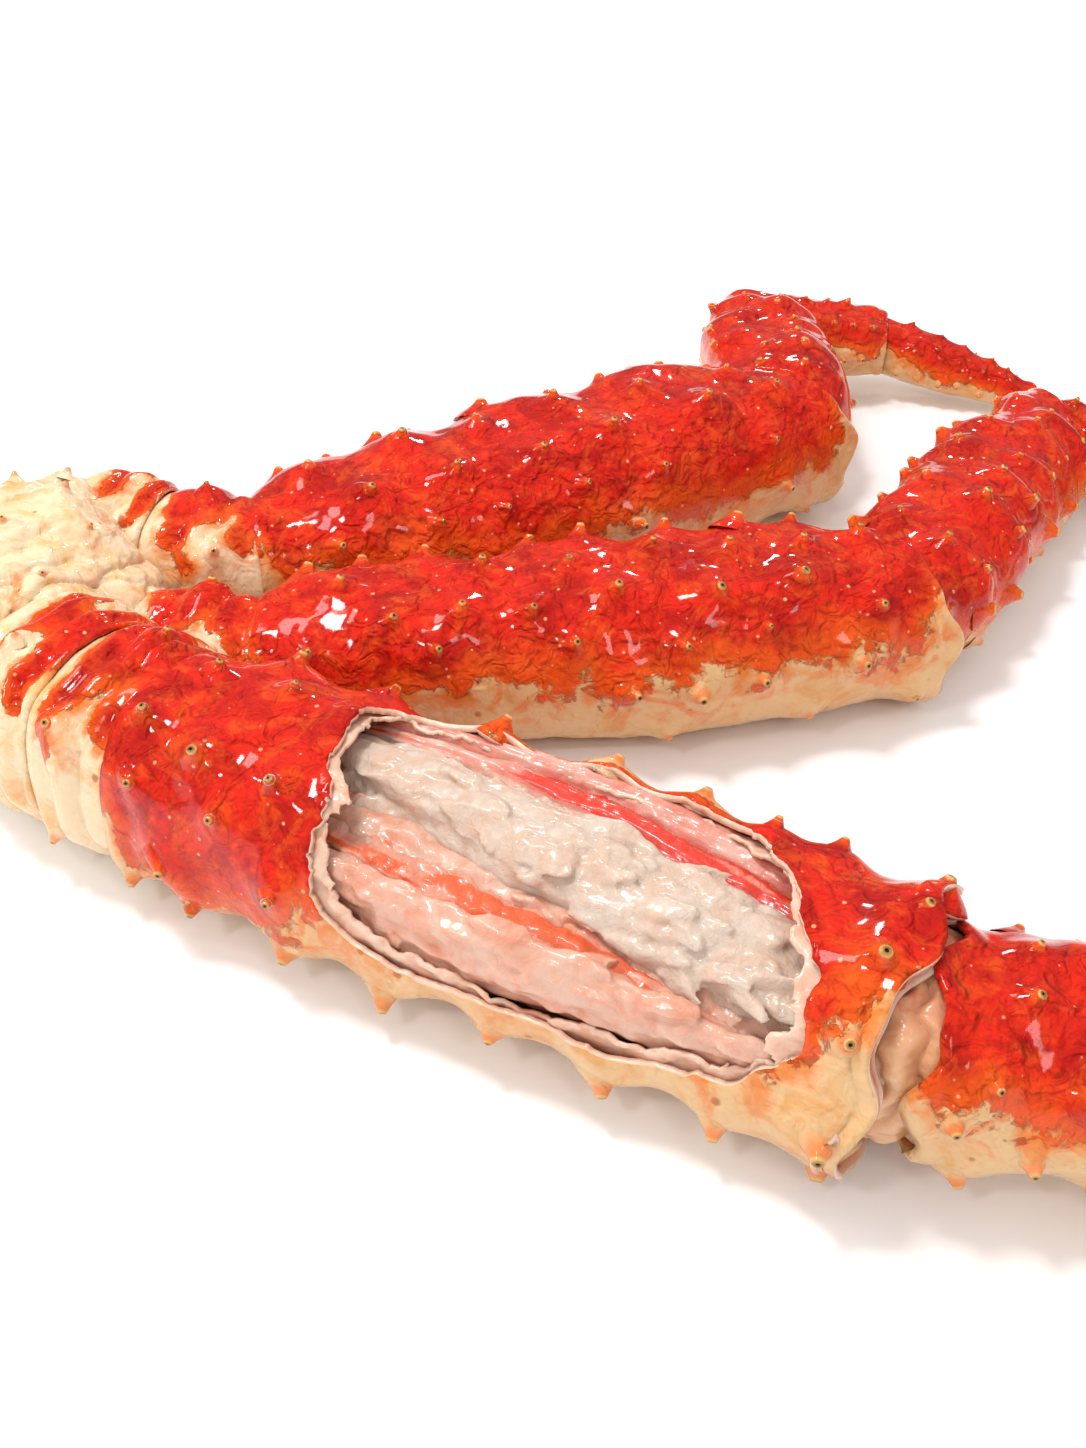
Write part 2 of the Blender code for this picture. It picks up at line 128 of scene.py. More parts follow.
class Segment:
    """One shell's place and size. t runs from 0 at its near joint to 1 at its far joint. Degrees
    run round it: 0 is the near side, 90 the top, 180 the far side and 270 the belly."""

    def __init__(self, leg, spec, start, before, after):
        self.leg = leg
        self.kind, length, _, end_height, widths, heights = spec
        self.name = f"{leg}_{self.kind}"
        self.length = length * MM
        self.start = start
        heading = heading_of(spec)
        rise = end_height * MM - start[2]
        self.axis = unit(heading * math.sqrt(self.length**2 - rise**2) + np.array([0, 0, rise]))
        self.end = start + self.axis * self.length
        self.side = unit(np.cross(self.axis, (0, 0, 1)))
        self.up = np.cross(self.side, self.axis)
        self.widths = [width * MM for width in widths]
        self.heights = [height * MM for height in heights]
        self.first_plane = unit(heading + before)
        self.last_plane = unit(heading + after)

    def skin(self, t, degrees, size=1.0, grow=0.0):
        """Points of the shell at arrays of t and degrees."""
        t, angle = np.asarray(t, float), np.radians(degrees)
        first = np.clip(t / LEAN_REACH, 0, 1)[..., None]
        last = np.clip((1 - t) / LEAN_REACH, 0, 1)[..., None]
        normal = np.where(
            (t < 0.5)[..., None],
            self.first_plane * (1 - first) + self.axis * first,
            self.last_plane * (1 - last) + self.axis * last,
        )
        along = normal @ self.axis
        slant = (normal @ self.side) / along
        across = self.side - self.axis * slant[..., None]
        upward = self.up - self.axis * ((normal @ self.up) / along)[..., None]
        wide = through(self.widths, t)
        inner = np.where(t > 0.5, slant, -slant)
        shift = inner * ELBOW_PULL * wide
        wide = wide * (1 - np.abs(slant) * ELBOW_PULL) + grow
        high = through(self.heights, t) + grow
        c, s = np.cos(angle), np.sin(angle)
        power = 2 / SQUARENESS
        x = np.sign(c) * np.abs(c) ** power * wide * size + shift
        y = np.sign(s) * np.abs(s) ** power * high * size
        centre = self.start + self.axis * (self.length * t)[..., None]
        return centre + across * x[..., None] + upward * y[..., None]

    def normal(self, t, degrees):
        """The outward direction at one place."""
        round_it = self.skin(t, degrees + 0.5) - self.skin(t, degrees - 0.5)
        return unit(np.cross(round_it, self.axis)) * -1


def segments_of(leg):
    made, start = [], np.array(LEG_START[leg]) * MM
    headings = [heading_of(spec) for spec in LEGS[leg]]
    headings = [headings[0], *headings, headings[-1]]
    for spec, before, after in zip(LEGS[leg], headings, headings[2:]):
        made.append(Segment(leg, spec, start, before, after))
        start = made[-1].end
    return made


SEGMENTS = {segment.name: segment for leg in LEGS for segment in segments_of(leg)}
for name, segment in SEGMENTS.items():
    low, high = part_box(name)
    middle = (Vector(low) + Vector(high)) / 2
    away = (middle - Vector(tuple((segment.start + segment.end) / 2))).length
    print(f"{name}: {away / MM:.1f} mm from the frame's")

# %% [markdown]
# ## Where the spines stand
# King crab spines stand in long rows. Each row follows one line of the shell, so a row is an
# angle round the section, a height, and the shares of the length where its spines stand. On the
# three long shells they are listed one by one. On the small shells a seeded draw spreads them.

# %% The rows of spines
# Degrees, height in millimetres, and t of each spine.
LONG_ROWS = {
    "front": [
        (140, 4.6, (0.12, 0.25, 0.42, 0.57, 0.69, 0.79, 0.87)),
        (100, 3.6, (0.06, 0.17, 0.26)),
        (62, 4.6, (0.03, 0.13, 0.24)),
        (35, 3.2, (0.05, 0.18)),
        (2, 4.6, (0.10, 0.27)),
        (330, 5.6, (0.02, 0.13, 0.27, 0.41, 0.56, 0.70, 0.83)),
        (200, 3.6, (0.15, 0.35, 0.55, 0.75, 0.92)),
        (318, 6.4, (0.94,)),
        (358, 6.6, (0.94,)),
        (40, 5.6, (0.945,)),
        (72, 5.6, (0.955,)),
        (100, 5.6, (0.985,)),
        (124, 5.4, (1.0,)),
        (150, 5.0, (0.985,)),
    ],
    "mid": [
        (132, 5.6, (0.06, 0.15, 0.25, 0.42, 0.50, 0.64, 0.76, 0.87)),
        (98, 4.4, (0.12, 0.34, 0.47, 0.60, 0.72, 0.84, 0.95)),
        (66, 4.8, (0.20, 0.30, 0.40, 0.53, 0.68, 0.80)),
        (38, 3.2, (0.08, 0.26, 0.46, 0.62, 0.74, 0.90)),
        (10, 5.0, (0.54, 0.64, 0.73, 0.86)),
        (335, 3.6, (0.30, 0.60, 0.80, 0.96)),
        (195, 3.8, (0.10, 0.30, 0.50, 0.70, 0.90)),
    ],
    "back": [
        (138, 6.0, (0.05, 0.14, 0.24, 0.31, 0.44, 0.51, 0.57, 0.67, 0.74, 0.82, 0.88, 0.95)),
        (104, 4.6, (0.10, 0.27, 0.40, 0.55, 0.70, 0.90)),
        (70, 4.4, (0.18, 0.32, 0.47, 0.60, 0.78, 0.92)),
        (38, 3.4, (0.12, 0.27, 0.38, 0.52, 0.66, 0.85)),
        (5, 4.4, (0.24, 0.36, 0.60, 0.86)),
        (330, 3.6, (0.45, 0.70, 0.93)),
        (195, 3.8, (0.10, 0.30, 0.50, 0.70, 0.90)),
    ],
}
# Degrees, count and height in millimetres.
SHORT_ROWS = {
    "basis": [(70, 1, 3.0), (20, 1, 3.0)],
    "ischium": [(42, 1, 4.4), (115, 1, 4.0), (340, 1, 3.4)],
    "carpus": [(150, 7, 5.6), (112, 5, 4.4), (75, 6, 4.6), (38, 6, 4.6), (4, 8, 5.8),
               (328, 5, 5.0), (195, 5, 4.4)],
    "propodus": [(150, 6, 4.0), (95, 5, 3.0), (45, 5, 2.6), (0, 6, 3.2), (200, 4, 2.6)],
    "dactyl": [(150, 7, 1.9), (110, 6, 1.5), (50, 6, 1.5), (350, 7, 1.9)],
}
# Where a small shell's rows start, and the share of its length that they run over.
FIRST_SPINE, SPINED_SHARE = 0.07, 0.88


def spine_places(segment):
    """t, degrees and height of each spine of a segment."""
    draw = random.Random(segment.name)
    places = []
    if segment.kind == "merus":
        for degrees, height, shares in LONG_ROWS[segment.leg]:
            for t in shares:
                turned = degrees + draw.uniform(-6, 6)
                places.append((t, turned, height * MM * draw.uniform(0.75, 1.15)))
        return places
    for degrees, count, height in SHORT_ROWS[segment.kind]:
        shift = draw.uniform(0.35, 0.65)
        for i in range(count):
            t = FIRST_SPINE + SPINED_SHARE * (i + shift + draw.uniform(-0.22, 0.22)) / count
            turned = degrees + draw.uniform(-7, 7)
            places.append((t, turned, height * MM * draw.uniform(0.7, 1.15)))
    return places


print("spines:", sum(len(spine_places(segment)) for segment in SEGMENTS.values()))

# %% [markdown]
# ## A fine skin
# Every shell is a sheet of small faces rolled round its segment. The sheet starts as Blender's
# own flat grid. Each of its points knows its row and its column, so one formula can carry it to
# the shell, and the seam is closed by merging. Working on whole arrays keeps this fast, and lets
# the same sheet take folds, lobes and swellings before it is handed back to the mesh.

# %% Arrays and noise
def smooth_step(low, high, values):
    x = np.clip((values - low) / (high - low), 0, 1)
    return x * x * (3 - 2 * x)


def hump(values, middle, spread):
    return np.exp(-(((values - middle) / spread) ** 2))


def rough(points, size, octaves=2, seed=0.0):
    """Smooth noise from about -1 to 1, with lumps of this size."""
    moved = (points.reshape(-1, 3) / size + seed).tolist()
    return np.array([noise.fractal(p, 0.9, 2.1, octaves) for p in moved]).reshape(points.shape[:-1])


def sheet_normals(points, centres):
    """Outward normals of a table of points, each row of it round its own centre."""
    round_it = np.empty_like(points)
    round_it[:, 1:-1] = points[:, 2:] - points[:, :-2]
    round_it[:, 0] = round_it[:, -1] = points[:, 1] - points[:, -2]
    normals = np.cross(round_it, np.gradient(points, axis=0))
    lengths = np.linalg.norm(normals, axis=-1, keepdims=True)
    normals = normals / np.maximum(lengths, 1e-12)
    inward = np.sum(normals * (points - centres), axis=-1, keepdims=True) < 0
    return np.where(inward, -normals, normals)


def keep_above(points, height):
    """Flattens whatever sinks below this height."""
    points[..., 2] = np.maximum(points[..., 2], height * MM)


# %% Rolling a grid into a skin
SMALL = 0.9 * MM  # the width of a face


def around(count):
    """The degrees of a rolled sheet's columns. Its seam lies under the belly."""
    return np.linspace(-90, 270, count + 1)


def empty_bmesh(*names):
    """A bmesh without points, whose points will carry these values for the material to read."""
    bm = bmesh.new()
    for name in names:
        bm.verts.layers.float.new(name)
    return bm


def add_values(bm, name, values):
    layer = bm.verts.layers.float.new(name)
    for vert, value in zip(bm.verts, values.tolist()):
        vert[layer] = value


def place_points(bm, points):
    for vert, point in zip(bm.verts, points.tolist()):
        vert.co = point


def rolled(points, values, gone=None):
    """A sheet from tables of its points and values. Where gone says so it has no faces."""
    rows, columns = points.shape[0] - 1, points.shape[1] - 1
    bm = bmesh.new()
    bmesh.ops.create_grid(bm, x_segments=columns, y_segments=rows, size=0.5)
    places = np.array([vert.co for vert in bm.verts]) + 0.5
    row = np.rint(places[:, 1] * rows).astype(int)
    column = np.rint(places[:, 0] * columns).astype(int)
    place_points(bm, points[row, column])
    for name, table in values.items():
        add_values(bm, name, table[row, column])
    if gone is not None:
        dead = []
        for face in bm.faces:
            corners = [vert.index for vert in face.verts]
            if gone[row[corners].min(), column[corners].min()]:
                dead.append(face)
        bmesh.ops.delete(bm, geom=dead, context="FACES")
    return bm


def close_up(bm, reach=1e-6):
    """Merges the seam and turns every face outwards."""
    bmesh.ops.remove_doubles(bm, verts=bm.verts, dist=reach)
    bmesh.ops.recalc_face_normals(bm, faces=bm.faces)


def mesh_of(bm, name):
    mesh = bpy.data.meshes.new(name)
    bm.to_mesh(mesh)
    bm.free()
    return mesh


def pour(bm, into):
    """Moves everything of one bmesh into another."""
    mesh = mesh_of(bm, "poured")
    into.from_mesh(mesh)
    bpy.data.meshes.remove(mesh)


def stand_in_scene(name, data):
    made = bpy.data.objects.new(name, data)
    bpy.context.scene.collection.objects.link(made)
    return made


def finish_piece(bm, name, materials, replaced=()):
    """A smooth object from the bmesh, which rides with the body and stands for frame nodes."""
    close_up(bm)
    mesh = mesh_of(bm, name)
    mesh.shade_smooth()
    for material in materials:
        mesh.materials.append(material)
    piece = stand_in_scene(name, mesh)
    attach(piece, "root")
    if replaced:
        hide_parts(*replaced)
    return piece


def give_wall(piece, thickness):
    """A Solidify modifier that thickens the skin inwards."""
    wall = piece.modifiers.new("wall", "SOLIDIFY")
    wall.thickness = thickness
    wall.offset = -1.0
    return wall


def say_faces(piece):
    print(piece.name, len(piece.data.polygons), "faces")


# %% [markdown]
# ## Spines
# A spine is a stubby cone with a flared foot and a blunt horny end with a dark pore. It is turned
# once from a profile, like wood on a lathe, and copied to each place, leaning a little towards
# the leg's tip. Each ring of it carries a value from 0 at the foot to 1 in the pore, which the
# shell's material turns into colour.

# %% The spine that is copied
# Distance from the spine's axis as a share of the foot, height as a share of the spine, and the
# ring's value.
SPINE_PROFILE = [
    (1.90, -0.62, 0.0), (1.56, -0.26, 0.0), (1.20, 0.04, 0.04), (0.88, 0.30, 0.14),
    (0.64, 0.52, 0.30), (0.49, 0.70, 0.48), (0.40, 0.84, 0.64), (0.34, 0.94, 0.78),
    (0.26, 1.0, 0.86), (0.16, 1.0, 0.92), (0.09, 0.92, 0.98), (0.0, 0.84, 1.0),
]
SPINE_SIDES = 12
SPINE_FLOOR = 0.1


def turned_spine():
    bm = empty_bmesh("spine")
    layer = bm.verts.layers.float["spine"]
    verts = [bm.verts.new((radius, 0, height)) for radius, height, _ in SPINE_PROFILE]
    for vert, (_, _, value) in zip(verts, SPINE_PROFILE):
        vert[layer] = value
    edges = [bm.edges.new(pair) for pair in zip(verts, verts[1:])]
    bmesh.ops.spin(bm, geom=verts + edges, cent=(0, 0, 0), axis=(0, 0, 1), dvec=(0, 0, 0),
                   angle=2 * math.pi, steps=SPINE_SIDES, use_merge=True, use_duplicate=False)
    close_up(bm, 1e-5)
    return mesh_of(bm, "spine_to_copy")


SPINE_MESH = turned_spine()
print("faces in a spine:", len(SPINE_MESH.polygons))


def add_spine(bm, foot, direction, height, width, pale):
    """Copies the spine to its place in a bmesh that holds only spines."""
    start = len(bm.verts)
    bm.from_mesh(SPINE_MESH)
    bm.verts.ensure_lookup_table()
    turn = Vector(direction).to_track_quat("Z", "Y").to_matrix().to_4x4()
    place = Matrix.Translation(foot) @ turn @ Matrix.Diagonal((width, width, height, 1))
    layer = bm.verts.layers.float["pale"]
    for vert in bm.verts[start:]:
        vert.co = place @ vert.co
        vert.co.z = max(vert.co.z, SPINE_FLOOR * MM)
        vert[layer] = pale


# %% [markdown]
# ## Where a shell is red and where it is cream
# A cooked king crab is red above and cream below, and the border is ragged. Each point gets a
# value of how pale it is: 0.5 lies on the border, and the material's noise then frays it.

# %% Borders between red and cream
# Degrees of the border: on the near side at the shell's start and at its end, and on the far side.
BORDERS = {
    "front_merus": (-24, 10, 200), "front_carpus": (20, 24, 170),
    "front_propodus": (10, 10, 175), "front_dactyl": (0, 0, 180), "mid_merus": (6, 16, 185),
    "mid_carpus": (-8, -8, 170), "mid_propodus": (5, 5, 175), "mid_dactyl": (0, 0, 180),
    "back_merus": (12, 2, 185), "back_carpus": (-5, -5, 178), "back_propodus": (12, 12, 175),
    "back_dactyl": (5, 5, 180), "front_ischium": (68, 40, 168), "mid_ischium": (66, 44, 158),
    "back_ischium": (66, 54, 160), "front_basis": (150, 58, 140), "back_basis": (110, 90, 155),
}
BORDER_SOFTNESS = 72.0
# Count and depth of the rolls that ring the short shells near the shoulder.
FOLDS = {"basis": (3.1, 2.6 * MM), "ischium": (2.7, 2.3 * MM)}


def fold_phase(segment, t, degrees):
    """Counts the rolls along a short shell. They run round it at a slant and wander."""
    angle = np.radians(degrees)
    along = t * segment.length / segment.widths[1]
    wander = rough(np.stack([along, np.cos(angle), np.sin(angle)], axis=-1), 0.7, 2, 3.0)
    return FOLDS[segment.kind][0] * t + 0.40 * wander + 0.38 * np.sin(angle + math.radians(35))


def folds(segment, t, degrees):
    """Soft rolls with sharp creases between them, which die out at the joints."""
    inner = smooth_step(0, 4, t * segment.length / MM)
    inner = inner * smooth_step(0, 4, (1 - t) * segment.length / MM)
    roll = np.abs(np.sin(math.pi * fold_phase(segment, t, degrees))) ** 0.6 - 0.7
    return inner * FOLDS[segment.kind][1] * roll


def paleness(segment, t, degrees):
    near, near_later, far = BORDERS[segment.name]
    near = near + (near_later - near) * smooth_step(0.18, 0.40, t)
    torn = segment.name == "front_merus"
    if torn:
        near = near + 42 * smooth_step(0.86, 0.96, t)
    away = np.abs((degrees - (near + far) / 2 + 180) % 360 - 180) - (far - near) / 2
    pale = 0.5 + away / BORDER_SOFTNESS
    from_near, from_far = t * segment.length / MM, (1 - t) * segment.length / MM
    pale = pale + 0.35 * hump(from_near, 1.0, 2.0) + 0.45 * hump(from_far, 0.0, 2.6)
    if torn:
        beside_hole = smooth_step(0.34, 0.44, t) * smooth_step(0.86, 0.72, t)
        pale = pale + hump(degrees, 147, 26) * beside_hole
    if segment.kind in FOLDS:
        bands = np.cos(math.pi * fold_phase(segment, t, degrees))
        pale = pale + 0.50 * bands * hump(away, 0, 55)
    if segment.kind in ("merus", "carpus"):
        pale = pale + 0.12 * smooth_step(12, 0, from_far) + 0.10 * smooth_step(10, 0, from_near)
    return np.clip(pale, 0.0, 1.0)


print("border of the front merus:", BORDERS["front_merus"])

# %% [markdown]
# ## Wet, cooked materials
# Cooked shell is a hard, glossy skin with a thin layer of water on it: a rough base under a sharp
# clear coat. Its colour comes from three masks: the frayed border between red and cream, pale
# specks on the red, and brown specks on the cream. The masks are node groups, because the shell,
# the shoulder and the joint skin all use them with their own values.

# %% Colours
RED, DEEP_RED, ORANGE = (0.65, 0.016, 0.004), (0.36, 0.004, 0.002), (0.82, 0.115, 0.008)
CREAM, WARM_CREAM, AMBER = (0.70, 0.44, 0.215), (0.66, 0.31, 0.095), (0.72, 0.17, 0.02)
MILKY, WARM_MILKY = (0.80, 0.62, 0.40), (0.78, 0.46, 0.19)
HORN, DARK_HORN, PORE = (0.66, 0.40, 0.14), (0.36, 0.17, 0.04), (0.025, 0.012, 0.006)
PALE_DOT, BROWN_DOT = (0.95, 0.46, 0.24), (0.42, 0.12, 0.02)
PALE_PINK, WHITE = (0.72, 0.36, 0.27), (1.0, 1.0, 1.0)
MEAT, WARM_MEAT = (0.66, 0.52, 0.42), (0.65, 0.43, 0.31)


# %% A small kit for nodes
class Wires:
    """Adds nodes to one tree. Most of its methods return the new node's output socket."""

    def __init__(self, tree):
        self.tree = tree

    def fill(self, node, **inputs):
        """Sets a node's inputs, or links them where a socket is given."""
        for key, value in inputs.items():
            numbered = key[0] == "i" and key[1:].isdigit()
            socket = node.inputs[int(key[1:]) if numbered else key.replace("_", " ")]
            if isinstance(value, bpy.types.NodeSocket):
                self.tree.links.new(value, socket)
            elif socket.type == "RGBA":
                socket.default_value = (*value, 1.0)
            else:
                socket.default_value = value

    def add(self, kind, settings=None, **inputs):
        node = self.tree.nodes.new(kind)
        for key, value in (settings or {}).items():
            setattr(node, key, value)
        self.fill(node, **inputs)
        return node

    def math(self, operation, a, b, c=0.5):
        return self.add("ShaderNodeMath", {"operation": operation}, i0=a, i1=b, i2=c).outputs[0]

    def times(self, a, b):
        return self.math("MULTIPLY", a, b)

    def blend(self, share, a, b):
        """Colour a where the share is 0, colour b where it is 1."""
        mix = self.add("ShaderNodeMix", {"data_type": "RGBA"}, i0=share, i6=a, i7=b)
        return mix.outputs[2]

    def lay(self, under, mask, strength, over):
        """One colour laid over another where the mask is, at part of its strength."""
        return self.blend(self.times(mask, strength), under, over)

    def fade(self, value, low, high):
        """0 below low, 1 above high, smooth between."""
        return self.add("ShaderNodeMapRange", {"interpolation_type": "SMOOTHSTEP"}, Value=value,
                        From_Min=low, From_Max=high).outputs["Result"]

    def noise(self, where, size, detail=4.0, roughness=0.65, distortion=0.0):
        return self.add("ShaderNodeTexNoise", None, Vector=where, Scale=1 / size, Detail=detail,
                        Roughness=roughness, Distortion=distortion).outputs["Fac"]

    def cells(self, where, density, feature):
        return self.add("ShaderNodeTexVoronoi", {"feature": feature}, Vector=where,
                        Scale=density).outputs

    def bump(self, height, distance):
        return self.add("ShaderNodeBump", None, Height=height, Distance=distance,
                        Strength=1.0).outputs["Normal"]

    def group(self, group, **inputs):
        return self.add("ShaderNodeGroup", {"node_tree": group}, **inputs).outputs

    def place(self):
        return self.add("ShaderNodeTexCoord").outputs["Object"]

    def on_points(self, name):
        return self.add("ShaderNodeAttribute", {"attribute_name": name}).outputs["Fac"]


def new_group(name, inputs, outputs):
    """A node group of plain values: its wires, the sockets it is given, and its output node."""
    group = bpy.data.node_groups.new(name, "ShaderNodeTree")
    for title, value in inputs.items():
        socket = group.interface.new_socket(title, in_out="INPUT", socket_type="NodeSocketFloat")
        socket.default_value = value
    for title in outputs:
        group.interface.new_socket(title, in_out="OUTPUT", socket_type="NodeSocketFloat")
    wires = Wires(group)
    return wires, wires.add("NodeGroupInput").outputs, wires.add("NodeGroupOutput")


def new_material(name):
    material = bpy.data.materials.new(name)
    material.use_nodes = True
    return material, Wires(material.node_tree), material.node_tree.nodes["Principled BSDF"]


# %% The frayed border between red and cream
wires, given, result = new_group("frayed border", {"Paleness": 0.5, "Fray": 0.5},
                                 ["Cream", "Halo", "Blush"])
where = wires.place()
wide = wires.noise(where, 0.014, 2.0, 0.5, 0.6)
fine = wires.noise(where, 0.0035, 4.0, 0.65, 1.2)
wander = wires.math("MULTIPLY_ADD", wide, 0.62, wires.times(fine, 0.38))
wander = wires.times(wires.math("SUBTRACT", wander, 0.5), given["Fray"])
border = wires.math("ADD", given["Paleness"], wander)
wires.fill(result, Cream=wires.fade(border, 0.47, 0.56), Halo=wires.fade(border, 0.04, 0.50),
           Blush=wires.fade(border, 1.05, 0.50))
frayed_border = wires.tree

# %% Specks: small round dots, each with its own size
wires, given, result = new_group("specks", {"Spacing": 0.005, "Size": 0.2}, ["Specks"])
cells = wires.cells(wires.place(), wires.math("DIVIDE", 1.0, given["Spacing"]), "F1")
draw = wires.add("ShaderNodeSeparateColor", None, Color=cells["Color"]).outputs["Red"]
inside = wires.math("SUBTRACT", wires.times(draw, given["Size"]), cells["Distance"])
wires.fill(result, Specks=wires.fade(inside, -0.05, 0.05))
specks = wires.tree

# %% Wet relief: fine pimples, and the curly wrinkles that catch the light
wires, given, result = new_group("wet relief", {"Pimples": 1.0, "Wrinkles": 1.0}, ["Height"])
where = wires.place()
cells = wires.cells(where, 1 / 0.0028, "SMOOTH_F1")
pimples = wires.times(wires.fade(cells["Distance"], 0.42, 0.08), given["Pimples"])
broad = wires.fade(wires.noise(where, 0.0052, 2.0, 0.5, 1.1), 0.30, 0.70)
curls = wires.math("MULTIPLY_ADD", wires.noise(where, 0.0017, 2.0, 0.5, 0.8), 0.5, broad)
wrinkles = wires.times(curls, given["Wrinkles"])
wires.fill(result, Height=wires.math("ADD", pimples, wrinkles))
wet_relief = wires.tree
print("shared groups:", [group.name for group in bpy.data.node_groups])


# %% Cooked shell
def shell_material(name, fray, pimples, wrinkles, pale, warm_pale):
    """Red to cream shell with specks, horny spines and a wet coat."""
    material, wires, shader = new_material(name)
    where = wires.place()

    def clouds(size, roughness, distortion, low, high):
        return wires.fade(wires.noise(where, size, 4.0, roughness, distortion), low, high)

    def dots(spacing):
        return wires.group(specks, Spacing=spacing, Size=0.15)["Specks"]

    border = wires.group(frayed_border, Paleness=wires.on_points("pale"), Fray=fray)
    red = wires.lay(RED, clouds(0.013, 0.65, 0.8, 0.45, 0.62), 0.75, DEEP_RED)
    red = wires.lay(red, clouds(0.010, 0.65, 1.6, 0.48, 0.66), 0.38, ORANGE)
    red = wires.lay(red, clouds(0.0042, 0.7, 0.6, 0.50, 0.64), 0.5, DEEP_RED)
    red = wires.lay(red, border["Halo"], 0.7, ORANGE)
    red = wires.lay(red, dots(0.0030), 0.75, PALE_DOT)
    cream = wires.blend(clouds(0.009, 0.6, 0.8, 0.45, 0.70), pale, warm_pale)
    blotches = wires.times(clouds(0.012, 0.65, 1.4, 0.42, 0.60), border["Blush"])
    cream = wires.lay(cream, blotches, 0.95, AMBER)
    cream = wires.lay(cream, dots(0.0062), 0.8, BROWN_DOT)
    colour = wires.blend(border["Cream"], red, cream)
    spine = wires.on_points("spine")
    colour = wires.lay(colour, wires.fade(spine, 0.0, 0.42), 0.55, ORANGE)
    for low, high, horn in ((0.56, 0.74, HORN), (0.76, 0.90, DARK_HORN), (0.91, 0.98, PORE)):
        colour = wires.blend(wires.fade(spine, low, high), colour, horn)
    calm = wires.math("MULTIPLY_ADD", border["Cream"], -0.65, 1.0)
    relief = wires.group(wet_relief, Pimples=pimples, Wrinkles=wrinkles)["Height"]
    uneven = wires.noise(where, 0.006, 2.0, 0.55)
    wires.fill(shader, Base_Color=colour, Normal=wires.bump(wires.times(relief, calm), 0.0005),
               Roughness=wires.math("MULTIPLY_ADD", uneven, 0.3, 0.5), Specular_IOR_Level=0.1,
               Coat_Weight=0.9, Coat_IOR=1.34, Coat_Roughness=0.07, Subsurface_Weight=0.06,
               Subsurface_Radius=(1.0, 0.35, 0.2), Subsurface_Scale=0.002)
    return material


COOKED_SHELL = shell_material("cooked shell", 1.35, 0.8, 2.0, CREAM, WARM_CREAM)
PALE_SHELL = shell_material("pale shell", 1.5, 0.3, 1.6, MILKY, WARM_MILKY)


# %% Skin and meat
def soft_material(name, pale, dark, stain, grain, gloss=0.6, depth=0.0004):
    """Moist flesh: two close colours, a stain where the points say so, and a fibrous grain."""
    material, wires, shader = new_material(name)
    where = wires.place()
    cloud = wires.fade(wires.noise(where, 0.008, 4.0, 0.6, 0.8), 0.35, 0.70)
    frayed = wires.group(frayed_border, Paleness=wires.on_points("stain"), Fray=0.9)
    colour = wires.blend(cloud, pale, dark)
    colour = wires.blend(frayed["Halo"], colour, wires.blend(0.5, pale, stain))
    colour = wires.blend(frayed["Cream"], colour, stain)
    lumps = wires.noise(where, grain, 5.0, 0.65, 0.6)
    wires.fill(shader, Base_Color=colour, Normal=wires.bump(lumps, depth), Roughness=0.42,
               Coat_Weight=gloss, Coat_Roughness=0.15, Subsurface_Weight=0.35,
               Subsurface_Radius=(1.0, 0.85, 0.7), Subsurface_Scale=0.002)
    return material


WHITE_MEAT = soft_material("white meat", MEAT, WARM_MEAT, PALE_PINK, 0.0017, depth=0.0006)
RED_SKINNED_MEAT = soft_material("red skinned meat", PALE_PINK, MEAT, (0.68, 0.035, 0.012),
                                 0.0025, gloss=0.8)
PINK_MEAT = soft_material("pink meat", (0.70, 0.42, 0.31), (0.70, 0.27, 0.16),
                          (0.74, 0.12, 0.035), 0.0022, depth=0.0005)
SHELL_LINING = soft_material("shell lining", (0.80, 0.54, 0.41), (0.77, 0.42, 0.28),
                             (0.74, 0.16, 0.05), 0.003)
JOINT_SKIN = soft_material("joint skin", (0.74, 0.44, 0.23), (0.70, 0.33, 0.15),
                           (0.70, 0.24, 0.13), 0.003)
print("materials:", len(bpy.data.materials))

# %% [markdown]
# ## The closed shells
# Each shell tucks into the flared mouth of the one before it. Its skin is a list of rows: a few
# that close the near end, many along its length, and a few that roll over the far rim and back
# into the mouth. On top of the plain section come slow waves, small dents, and a low swelling
# under each spine.

# %% Rows along a shell
# Distance from the joint in millimetres, and size of the row as a share of the section.
NEAR_END = [(-3.4, 0.0), (-3.3, 0.50), (-2.9, 0.90), (-1.8, 0.98), (-0.4, 1.01), (1.2, 1.02),
            (2.8, 1.01), (4.4, 1.0)]
FAR_END = [(2.8, 1.0), (1.6, 1.03), (0.7, 1.045), (0.1, 1.035), (-0.1, 1.01), (0.3, 0.985),
           (1.8, 0.96), (4.2, 0.94), (4.7, 0.55), (4.8, 0.0)]
SOCKET_END = [(9.6, 0.0), (9.5, 0.50), (9.2, 0.80), (7.4, 0.88), (5.2, 0.93), (3.9, 0.96),
              (3.4, 0.99), (3.5, 1.03), (4.4, 1.055), (5.8, 1.04), (7.4, 1.0)]
OPEN_END = [(5.4, 1.03), (4.4, 1.06), (3.7, 1.07)]
SHELL_FLOOR = 0.15


